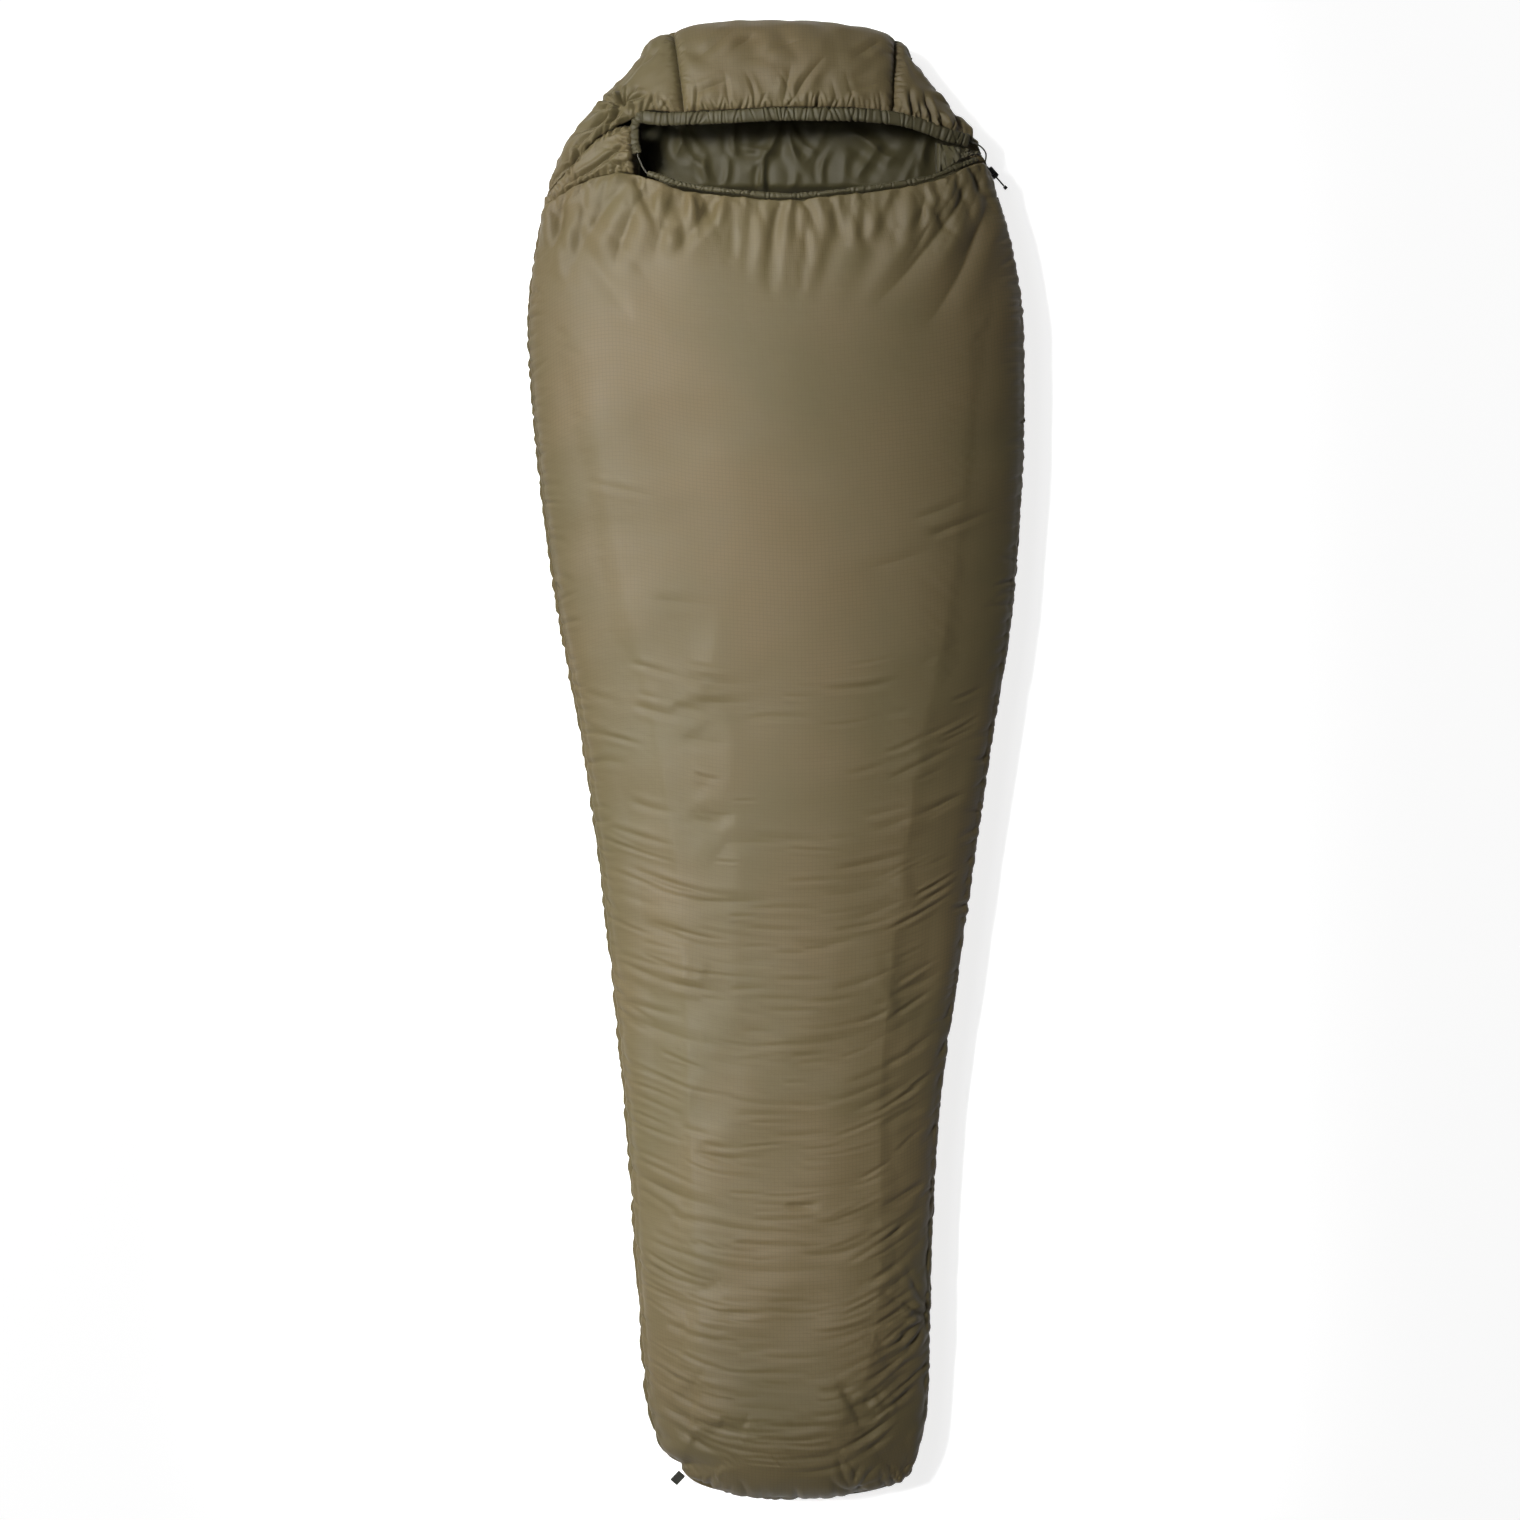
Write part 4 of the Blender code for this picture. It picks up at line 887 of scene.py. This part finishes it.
def above_channel(p, inset):
    return y_on(chest_edge, p, inset) + 2 * CHEST_CHANNEL_RADIUS + NECK_EASE


def at_x(x):
    return line_at_x(lambda y: np.full(np.shape(y), x), 0)


def gusset_strokes(start):
    strokes = puckers(start, "low", 0.0090, 0.018, 0.0022, 0.0036, rng)
    strokes += puckers(start, "high", 0.0090, 0.018, 0.0022, 0.0036, rng)
    strokes += puckers(start, "right", 0.0100, 0.034, 0.0026, 0.0042, rng)
    strokes.append(((-0.214, 0.914), (-0.338, 0.838), 0.004, 0.0030, 0.0065))
    return strokes


quilted(
    "neck_gusset_quilt", ("neck_gusset_shell", "neck_gusset_fill"), top_height, 1,
    (bag_left, at_x(GUSSET_END_X), gusset_low, gusset_high), (120, 64),
    (("low", 0.005, 0.0038), ("high", 0.005, 0.0038), ("left", 0.002, 0.006)),
    gusset_strokes, rng, swell=0.0035,
)


def lining_material(name, colour, roughness):
    """Soft downproof taffeta: a fine plain weave, small creases and a slow shift of tone."""
    made, add, link = new_material(name, colour, roughness, specular=0.18)
    made.node_tree.nodes["Principled BSDF"].inputs["Sheen Weight"].default_value = 0.03
    place = add("ShaderNodeTexCoord")
    broad = add("ShaderNodeTexNoise", {"Vector": place.outputs["Object"]}, Scale=14.0, Detail=4.0)
    fine = add("ShaderNodeTexNoise", {"Vector": place.outputs["Object"]}, Scale=90.0, Detail=3.0)
    uv = add("ShaderNodeUVMap", uv_map="cloth")
    weave = add("ShaderNodeTexChecker", {"Vector": uv.outputs["UV"]}, Scale=1 / 0.0012)
    tone = add("ShaderNodeMix", {"Factor": broad.outputs["Fac"]}, data_type="RGBA")
    tone.inputs["A"].default_value = (*[c * 0.80 for c in colour], 1)
    tone.inputs["B"].default_value = (*[c * 1.20 for c in colour], 1)
    link(tone.outputs["Result"], "Base Color")
    crease = add("ShaderNodeBump", {"Height": broad.outputs["Fac"]}, Strength=0.5, Distance=0.006)
    grain = add("ShaderNodeBump", {"Height": fine.outputs["Fac"], "Normal": crease.outputs["Normal"]},
                Strength=0.3, Distance=0.001)
    woven = add("ShaderNodeBump", {"Height": weave.outputs["Fac"], "Normal": grain.outputs["Normal"]},
                Strength=0.2, Distance=0.0001)
    link(woven.outputs["Normal"], "Normal")
    return made


LINING_COLOUR = (0.0280, 0.0236, 0.0092)
lining_finish = lining_material("green_lining", LINING_COLOUR, 0.60)
LINING_INSET, LINING = 0.0230, 0.0012


def fold_strokes(start):
    strokes = puckers(start, "low", 0.007, 0.020, 0.0020, 0.0034, rng)
    return strokes + puckers(start, "high", 0.007, 0.020, 0.0020, 0.0034, rng)


fold_ends = (at_x(FOLD_START_X), bag_right, above_channel, below_lip)
fold_columns, fold_rows = even_panel(top_height, fold_ends, 96, 48)
fold_start = panel_grid(top_height, FOLD_INSET, fold_columns, fold_rows, *fold_ends)
fold_skin = fold_start - grid_normals(fold_start, 1) * creases(fold_start, fold_strokes(fold_start))[..., None]
fold_inner = panel_grid(top_height, FOLD_INSET + FOLD_THICKNESS, fold_columns[::4], fold_rows[::4], *fold_ends)
for grid in (fold_skin, fold_inner):
    grid[..., 2] -= FOLD_SINK * smooth_step((FOLD_START_X + FOLD_SINK - grid[..., 0]) / FOLD_SINK)
fold_finish = lining_material("folded_lining", FOLD_COLOUR, 0.55)
neck_fold = walled("neck_lining_fold", fold_skin, fold_inner, 1, fold_finish)
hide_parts("neck_fold")
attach(neck_fold, "bag")

# ---------------------------------------------------------------- back
# Under the sleeper lies one more long padded panel, pressed flat on the floor by the bag's weight,
# and the hood's back, sewn to it across the neck.
NECK_Y = 0.840


def neck_line(shift):
    return lambda p, inset: np.full(np.shape(p), NECK_Y + shift)


def back_strokes(start):
    strokes = hammock_strokes(rng, 130, -1.05, 0.80, 0.10, 0.0060, 0.0022)
    strokes += puckers(start, "left", 0.018, 0.034, 0.0040, 0.0028, rng)
    strokes += puckers(start, "right", 0.018, 0.034, 0.0040, 0.0028, rng)
    return strokes


def hood_back_strokes(start):
    strokes = puckers(start, "left", 0.020, 0.030, 0.0040, 0.0025, rng)
    strokes += puckers(start, "right", 0.020, 0.030, 0.0040, 0.0025, rng)
    return strokes + puckers(start, "high", 0.020, 0.030, 0.0040, 0.0025, rng)


back_ends = (bag_left, bag_right, foot_end, neck_line(-SEAM_GAP / 2))
hood_back_ends = (bag_left, bag_right, neck_line(SEAM_GAP / 2), crown_end)
quilted(
    "back_quilt", ("back_shell", "back_foot_fill", "back_leg_fill", "back_torso_fill"), back_height, -1,
    back_ends, (128, 352), (("left", -0.005, 0.020), ("right", -0.005, 0.020), ("low", 0.002, 0.010)),
    back_strokes, rng, swell=0.0015,
)
quilted(
    "hood_back_quilt", ("hood_back_shell", "hood_back_fill"), back_height, -1,
    hood_back_ends, (128, 52), (("left", 0.003, 0.010), ("right", 0.003, 0.010), ("high", 0.003, 0.010)),
    hood_back_strokes, rng, swell=0.0015,
)

# ---------------------------------------------------------------- linings
# Each panel has a loose lining of soft dark green taffeta inside its batting. The back's lining
# shows through the face opening, where it lies in soft folds.


def lined(name, node, height, outside, ends, counts, strokes, lift=0.0):
    """A lining sheet that follows its panel, with folds that stand up from it by lift."""
    columns, rows = even_panel(height, ends, *counts)
    outer = panel_grid(height, LINING_INSET, columns, rows, *ends)
    inner = panel_grid(height, LINING_INSET + LINING, columns, rows, *ends)
    move = creases(outer, strokes) + lift * smooth_step(from_side(outer, "left") / 0.12) * smooth_step(
        from_side(outer, "right") / 0.12
    )
    rim = np.minimum.reduce([from_side(outer, side) for side in ("left", "right", "low", "high")])
    move *= smooth_step(rim / 0.02)
    for grid in (outer, inner):
        grid[..., 2] -= outside * np.maximum(move, 0.0)
    sheet = walled(name, outer, inner, outside, lining_finish)
    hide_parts(node)
    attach(sheet, "bag")
    return sheet


def opening_strokes():
    """The folds of the lining that shows in the opening: raised where it is loose."""
    strokes = []
    for x in np.arange(-0.20, 0.27, 0.020):
        middle_y = rng.uniform(0.865, 0.935)
        turn = rng.normal(1.45, 0.55)
        reach = rng.uniform(0.020, 0.048)
        step = (reach * math.cos(turn), reach * math.sin(turn))
        ends = ((x - step[0], middle_y - step[1]), (x + step[0], middle_y + step[1]))
        strokes.append((*ends, rng.normal(0, 0.008), rng.uniform(0.004, 0.008), rng.uniform(0.0025, 0.0065)))
    strokes.append(((0.008, 0.955), (-0.055, 0.870), 0.010, 0.008, 0.008))
    strokes.append(((0.018, 0.950), (0.055, 0.862), -0.010, 0.008, 0.007))
    strokes.append(((-0.15, 0.955), (-0.085, 0.868), -0.016, 0.009, 0.009))
    strokes.append(((0.10, 0.940), (0.17, 0.880), 0.010, 0.008, 0.007))
    return strokes


lined("chest_lining_sheet", "chest_lining", top_height, 1, chest_ends, (56, 128), [])
lined("back_lining_sheet", "back_lining", back_height, -1, back_ends, (56, 128), [])
lined(
    "hood_back_lining_sheet", "hood_back_lining", back_height, -1, hood_back_ends, (200, 72),
    opening_strokes(), lift=0.026,
)
for side, ends in (
    ("crown", (crown_left_line, crown_right_line, above_lip, crown_end)),
    ("left", (bag_left, line_at_x(crown_left, -CROWN_SEAM_HALF), above_lip, crown_end)),
    ("right", (line_at_x(crown_right, CROWN_SEAM_HALF), bag_right, above_lip, crown_end)),
):
    lined(f"hood_{side}_lining_sheet", f"hood_{side}_lining", top_height, 1, ends, (32, 24), [])
lined(
    "neck_gusset_lining_sheet", "neck_gusset_lining", top_height, 1,
    (bag_left, at_x(GUSSET_END_X), gusset_low, gusset_high), (24, 12), [],
)

# ---------------------------------------------------------------- drawcord channels
# A tube of grey-green taffeta is sewn along the hood's lip, and a thinner one along the chest's
# edge. Both are gathered on the drawcord, so they stand in close uneven folds.
CHANNEL_COLOUR = (0.0400, 0.0345, 0.0165)
channel_finish = lining_material("gathered_channel", CHANNEL_COLOUR, 0.55)
CHANNEL_EASE = 0.0025
BAND_START_X, BAND_END_X = -0.200, 0.284


def on_top(x, y, drop):
    """A point this far below the bag's upper surface."""
    return (x, y, float(top_height(across_share(x, y), y)) - drop)


band_points = [
    on_top(x, float(lip_edge(x)) + BAND_WIDTH / 2 + SEAM_GAP, 0.0042)
    for x in np.linspace(BAND_END_X, BAND_START_X, 15)
]
band_points += [on_top(x, y, 0.0050) for x, y in ((-0.2100, 0.934), (-0.2100, 0.915), (-0.2060, 0.895))]
chest_points = []
for x in np.concatenate([[-0.1905, -0.180], np.linspace(-0.150, 0.296, 14)]):
    slope = (float(chest_edge(x + 0.004)) - float(chest_edge(x - 0.004))) / 0.008
    lift = (CHEST_CHANNEL_RADIUS + CHANNEL_EASE) * math.hypot(1, slope)
    chest_points.append(on_top(x, float(chest_edge(x)) + lift, CHEST_CHANNEL_RADIUS + 0.001))


def gathered(name, node, line, wide, tall, spacing, depth, rng):
    """A soft tube round the cord, with gathers across it at uneven spacing."""
    side, up = frames_along(line)
    run = run_along(line)
    turn = np.linspace(0, 2 * math.pi, 24, endpoint=False)
    cos = np.sign(np.cos(turn)) * np.abs(np.cos(turn)) ** 0.8
    sin = np.sin(turn)
    gather = np.zeros((len(line), 24))
    ruffle = np.zeros((len(line), 24))
    at = 0.0
    while at < run[-1]:
        slant = rng.normal(0, 0.30) * spacing
        width = spacing * rng.uniform(0.10, 0.24)
        strength = rng.uniform(0.4, 1.3)
        reach = np.abs(run[:, None] - at - slant * cos) / width
        gather += strength * (np.exp(-reach) - 0.35 * np.exp(-((reach - 2.4) ** 2) / 1.4))
        ruffle += rng.normal(0, 0.5) * np.exp(-(reach**2) / 9)
        at += spacing * math.exp(rng.normal(0, 0.45))
    gather *= depth
    scale_up = tall(run / run[-1])[:, None] - gather
    scale_side = wide(run / run[-1])[:, None] - 0.6 * gather + 0.25 * depth * ruffle
    rings = line[:, None] + side[:, None] * (scale_side * cos)[..., None]
    rings = rings + up[:, None] * (scale_up * sin)[..., None]
    made = tube(name, rings, channel_finish)
    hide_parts(node)
    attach(made, "bag")
    return made


band_line = smooth_route(band_points, 520)
gathered(
    "hood_channel_gathers", "hood_channel", band_line,
    lambda t: 0.0066 + 0.0034 * smooth_step((0.93 - t) / 0.06), lambda t: np.full(np.shape(t), 0.0044),
    0.0078, 0.0021, rng,
)
chest_line = smooth_route(chest_points, 520)
gathered(
    "chest_channel_gathers", "chest_channel", chest_line,
    lambda t: 0.0040 + 0.0009 * np.sin(31 * t) * np.sin(12 * t + 1), lambda t: np.full(np.shape(t), 0.0038),
    0.0072, 0.0015, rng,
)
drawcord = tube(
    "drawcord_braid", round_rings(smooth_route(band_points + chest_points, 420), CORD_RADIUS, 8), cord_finish
)
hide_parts("drawcord")
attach(drawcord, "bag")

# ---------------------------------------------------------------- side zip
# A two-way coil zip closes the right side: woven tapes sewn to the chest and the back, a black
# nylon coil on each, and behind them a stiff tape and a padded tube against snags and draughts.
ZIP_UPPER_RADIUS, ZIP_UPPER_CENTRE = 2.0, (-1.6435, 0.460)
ZIP_LOWER_RADIUS = 5.0
ZIP_JOIN_Y = 0.050
ZIP_TOP_Y, ZIP_BOTTOM_Y = 0.860, -0.830
TAPE_HALF, TAPE_FOLD = 0.0004, 0.0035
COIL_PITCH, COIL_TURN, COIL_WIRE = 0.0026, 0.00085, 0.00032
DRAFT_TUBE_OUT, DRAFT_TUBE_WIDE, DRAFT_TUBE_TALL = -0.0320, 0.0100, 0.0140


def zip_line(y, out, up):
    """Points on the zip's line at y, moved outwards by out and upwards by up."""
    y = np.asarray(y, float)
    cx, cy = ZIP_UPPER_CENTRE
    join = math.asin((ZIP_JOIN_Y - cy) / ZIP_UPPER_RADIUS)
    reach = ZIP_UPPER_RADIUS + ZIP_LOWER_RADIUS
    far_x, far_y = cx + reach * math.cos(join), cy + reach * math.sin(join)
    high = np.arcsin(np.clip((y - cy) / ZIP_UPPER_RADIUS, -1, 1))
    low = np.arcsin(np.clip((y - far_y) / ZIP_LOWER_RADIUS, -1, 1))
    upper = y >= ZIP_JOIN_Y
    x = np.where(
        upper, cx + (ZIP_UPPER_RADIUS + out) * np.cos(high), far_x - (ZIP_LOWER_RADIUS - out) * np.cos(low)
    )
    along = np.where(
        upper, cy + (ZIP_UPPER_RADIUS + out) * np.sin(high), far_y + (ZIP_LOWER_RADIUS - out) * np.sin(low)
    )
    return np.stack([x, along, np.broadcast_to(SEAM_Z + up, x.shape)], axis=-1)


def weave_material(name, colour, roughness, pitch):
    """Woven tape: fine twill ribs, read from the UV map, with painted highlight on the ribs and painted shade
    in the grooves between them.
    """
    made, add, link = new_material(name, colour, roughness, specular=0.3)
    uv = add("ShaderNodeUVMap", uv_map="cloth")
    turned = add("ShaderNodeMapping", {"Vector": uv.outputs["UV"]}, Rotation=(0, 0, 0.8))
    ribs = add(
        "ShaderNodeTexWave", {"Vector": turned.outputs["Vector"]}, Scale=math.pi / pitch / 10, Distortion=0.5
    )
    spots = add("ShaderNodeTexNoise", {"Vector": uv.outputs["UV"]}, Scale=180.0)
    # Painted highlight and shade: the base colour is lighter on the ribs and darker in the grooves between
    # them.
    tone = add("ShaderNodeMix", {"Factor": ribs.outputs["Fac"]}, data_type="RGBA")
    tone.inputs["A"].default_value = (*[c * 0.65 for c in colour], 1)
    tone.inputs["B"].default_value = (*[c * 1.25 for c in colour], 1)
    link(tone.outputs["Result"], "Base Color")
    rough = add("ShaderNodeMapRange", {"Value": spots.outputs["Fac"]})
    rough.inputs["To Min"].default_value = roughness - 0.08
    rough.inputs["To Max"].default_value = roughness + 0.08
    link(rough.outputs["Result"], "Roughness")
    bump = add("ShaderNodeBump", {"Height": ribs.outputs["Fac"]}, Strength=0.5, Distance=0.0003)
    link(bump.outputs["Normal"], "Normal")
    return made


def moulded_material(name, colour, roughness, metallic=0.0):
    """Moulded plastic or enamelled metal: a fine grain, and gloss that varies a little."""
    made, add, link = new_material(name, colour, roughness, metallic)
    place = add("ShaderNodeTexCoord")
    grain = add("ShaderNodeTexNoise", {"Vector": place.outputs["Object"]}, Scale=900.0, Detail=3.0)
    marks = add("ShaderNodeTexNoise", {"Vector": place.outputs["Object"]}, Scale=220.0, Detail=5.0)
    rough = add("ShaderNodeMapRange", {"Value": marks.outputs["Fac"]})
    rough.inputs["To Min"].default_value = roughness - 0.10
    rough.inputs["To Max"].default_value = roughness + 0.12
    link(rough.outputs["Result"], "Roughness")
    tone = add("ShaderNodeMix", {"Factor": marks.outputs["Fac"]}, data_type="RGBA")
    tone.inputs["A"].default_value = (*[c * 0.8 for c in colour], 1)
    tone.inputs["B"].default_value = (*[c * 1.3 for c in colour], 1)
    link(tone.outputs["Result"], "Base Color")
    bump = add("ShaderNodeBump", {"Height": grain.outputs["Fac"]}, Strength=0.2, Distance=0.0001)
    link(bump.outputs["Normal"], "Normal")
    return made


tape_finish = weave_material("zip_tape_twill", (0.062, 0.050, 0.028), 0.75, 0.0010)
plastic_finish = moulded_material("black_nylon", (0.014, 0.014, 0.014), 0.42)
enamel_finish = moulded_material("black_enamel", (0.012, 0.012, 0.013), 0.32, 0.6)
steel_finish = moulded_material("spring_steel_wire", (0.50, 0.50, 0.51), 0.30, 1.0)


def strip(name, node, low, high, section, count, finish):
    """A strip swept along the zip's line; section is (outward, up) corners in order."""
    y = np.linspace(low, high, count)
    rings = np.stack([zip_line(y, out, up) for out, up in section], axis=1)
    made = tube(name, rings, finish)
    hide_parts(node)
    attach(made, "bag")
    return made


for name, way in (("upper", 1), ("lower", -1)):
    edge, fold = SLOT_HALF - SEAM_GAP, TAPE_FOLD
    corners = ((-TAPE_HALF, fold), (TAPE_HALF, fold), (TAPE_HALF, edge), (-TAPE_HALF, edge))
    section = [(out, way * up) for out, up in corners]
    strip(
        f"zip_tape_{name}_twill", f"zip_tape_{name}", ZIP_BOTTOM_Y - 0.012, ZIP_TOP_Y + 0.008,
        section[:: -way], 240, tape_finish,
    )
    turns = (ZIP_TOP_Y - ZIP_BOTTOM_Y) / COIL_PITCH
    phase = np.linspace(0, turns, int(turns * 8))
    y = ZIP_BOTTOM_Y + COIL_PITCH * phase
    angle = 2 * math.pi * phase
    coil_line = zip_line(y, COIL_TURN * np.cos(angle), 0)
    coil_line[:, 2] += way * 0.0020 + COIL_TURN * np.sin(angle)
    side, up = frames_along(coil_line)
    corners = np.linspace(0, 2 * math.pi, 4, endpoint=False)[:, None]
    rings = coil_line[:, None] + COIL_WIRE * (np.cos(corners) * side[:, None] + np.sin(corners) * up[:, None])
    coil = tube(f"zip_coil_{name}_wound", rings, plastic_finish)
    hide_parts(f"zip_coil_{name}")
    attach(coil, "bag")
snag = [(-0.0064, 0.001 - SLOT_HALF), (-0.0054, 0.001 - SLOT_HALF), (-0.0054, SLOT_HALF - 0.001)]
snag.append((-0.0064, SLOT_HALF - 0.001))
strip(
    "anti_snag_twill", "anti_snag_tape", ZIP_BOTTOM_Y + 0.01, ZIP_TOP_Y - 0.02, snag[::-1], 200,
    tape_finish,
)
turns = np.linspace(0, 2 * math.pi, 20, endpoint=False)
draft = [(DRAFT_TUBE_OUT + DRAFT_TUBE_WIDE * math.cos(a), DRAFT_TUBE_TALL * math.sin(a)) for a in turns]
draft_tube = strip(
    "draft_tube_roll", "draft_tube_cover", ZIP_BOTTOM_Y + 0.028, ZIP_TOP_Y - 0.033, draft[::-1], 240,
    lining_finish,
)
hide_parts("draft_tube_cover", "draft_tube_fill")

CAD_FINISHES = {
    "zip_slider_top": enamel_finish, "zip_slider_bottom": enamel_finish, "zip_pull_top": enamel_finish,
    "zip_pull_bottom": enamel_finish, "zip_top_stop_front": plastic_finish, "zip_top_stop_back": plastic_finish,
    "zip_bottom_stop": plastic_finish, "cord_lock_body": plastic_finish, "cord_lock_button": plastic_finish,
    "cord_end_bead": plastic_finish,
}
for node, finish in CAD_FINISHES.items():
    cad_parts[node].data.materials[0] = finish

# The lock's wire spring: a steel coil that fills the spring part's box and is carried with the cord lock.
SPRING_WIRE, SPRING_TURNS, SPRING_CLOSED = 0.0002, 2.25, 0.12
spring_low, spring_high = (np.array(corner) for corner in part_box("cord_lock_spring"))
spring_middle = (spring_low + spring_high) / 2
spring_radius = float(spring_high[0] - spring_low[0]) / 2 - SPRING_WIRE
turn = np.linspace(0, 2 * math.pi * SPRING_TURNS, 46)
coil_line = np.stack([
    spring_middle[0] + spring_radius * np.cos(turn), spring_middle[1] + spring_radius * np.sin(turn),
    np.linspace(spring_low[2] + SPRING_WIRE, spring_high[2] - SPRING_WIRE, len(turn)),
], axis=-1)
lock_spring = tube("cord_lock_spring_wire", round_rings(coil_line, SPRING_WIRE, 8), steel_finish)
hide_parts("cord_lock_spring")
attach(lock_spring, "cord_lock")
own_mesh(lock_spring)

# ---------------------------------------------------------------- foot loop
# A folded strip of olive webbing, both ends caught in the seam at the foot's left corner, to hang
# the bag up to dry.
LOOP_ROOT, LOOP_ALONG = (-0.1418, -1.0640), (0.76, -0.65)
LOOP_WIDTH, LOOP_LENGTH, LOOP_DROOP = 0.013, 0.020, math.radians(25)
WEBBING = 0.0012
webbing_finish = braid_material("olive_webbing", (0.022, 0.022, 0.015), 0.0016)
along = np.array([*LOOP_ALONG, 0.0]) / math.hypot(*LOOP_ALONG)
reach = np.array([along[1], -along[0], 0]) * math.cos(LOOP_DROOP) - np.array([0, 0, math.sin(LOOP_DROOP)])
above = np.cross(reach, along)
middle_fold = 0.0008 + WEBBING / 2
bend = np.linspace(0, math.pi, 13)
out = np.concatenate([
    np.linspace(0, LOOP_LENGTH - middle_fold, 16)[:-1], LOOP_LENGTH - middle_fold + middle_fold * np.sin(bend),
    np.linspace(LOOP_LENGTH - middle_fold, 0, 16)[1:],
])
lift = np.concatenate([np.full(15, middle_fold), middle_fold * np.cos(bend), np.full(15, -middle_fold)])
loop_line = np.array([*LOOP_ROOT, SEAM_Z]) + out[:, None] * reach + lift[:, None] * above
ahead = np.gradient(loop_line, axis=0)
ahead /= np.linalg.norm(ahead, axis=1)[:, None]
face = np.cross(ahead, along)
turn = np.linspace(0, 2 * math.pi, 28, endpoint=False)
flat = np.sign(np.cos(turn)) * np.abs(np.cos(turn)) ** 0.35 * LOOP_WIDTH / 2
thick = np.sign(np.sin(turn)) * np.abs(np.sin(turn)) ** 0.6 * WEBBING / 2
rings = loop_line[:, None] + along * flat[:, None] + face[:, None] * thick[:, None]
foot_loop = tube("foot_loop_webbing", rings, webbing_finish)
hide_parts("foot_loop")
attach(foot_loop, "loop")

# ---------------------------------------------------------------- floor, light
# The bag lies on a plain pale floor that glows a little, as back-lit paper does. A long softbox with
# a grid lights it from the left, and a big soft lamp fills in.
FLOOR_REACH, FLOOR_GLOW, ROOM_GLOW = 7.0, 0.80, 0.07
paper, add, link = new_material("pale_paper", (0.50, 0.50, 0.50), 0.9, specular=0.0)
glow = paper.node_tree.nodes["Principled BSDF"]
glow.inputs["Emission Color"].default_value = (1, 1, 1, 1)
glow.inputs["Emission Strength"].default_value = FLOOR_GLOW
floor_corners = np.array([(-1, -1, 0), (1, -1, 0), (1, 1, 0), (-1, 1, 0)]) * FLOOR_REACH
floor = new_piece(
    "studio_floor", floor_corners, [(0, 1, 2, 3)], [(0, 0), (1, 0), (1, 1), (0, 1)], paper,
)
scene.world = bpy.data.worlds.new("studio")
scene.world.use_nodes = True
scene.world.node_tree.nodes["Background"].inputs["Color"].default_value = (1, 1, 1, 1)
scene.world.node_tree.nodes["Background"].inputs["Strength"].default_value = ROOM_GLOW


def lamp(name, where, aim, size, power, spread=180):
    """A soft rectangular light that points from where to aim."""
    light = bpy.data.lights.new(name, "AREA")
    light.spread = math.radians(spread)
    light.shape = "RECTANGLE"
    light.size, light.size_y = size
    light.energy = power
    thing = bpy.data.objects.new(name, light)
    scene.collection.objects.link(thing)
    thing.location = where
    look = (Vector(where) - Vector(aim)).normalized()
    across = Vector((0, 1, 0)).cross(look).normalized()
    thing.rotation_euler = Matrix((across, look.cross(across), look)).transposed().to_euler()


lamp("strip_softbox", (-1.62, 0.56, 2.70), (-0.13, 0.04, 0.10), (0.52, 2.3), 12.8, spread=22)
lamp("fill_lamp", (-5.0, 2.4, 5.6), (0, 0, 0), (7.0, 7.0), 325)
scene.view_settings.view_transform = "Standard"
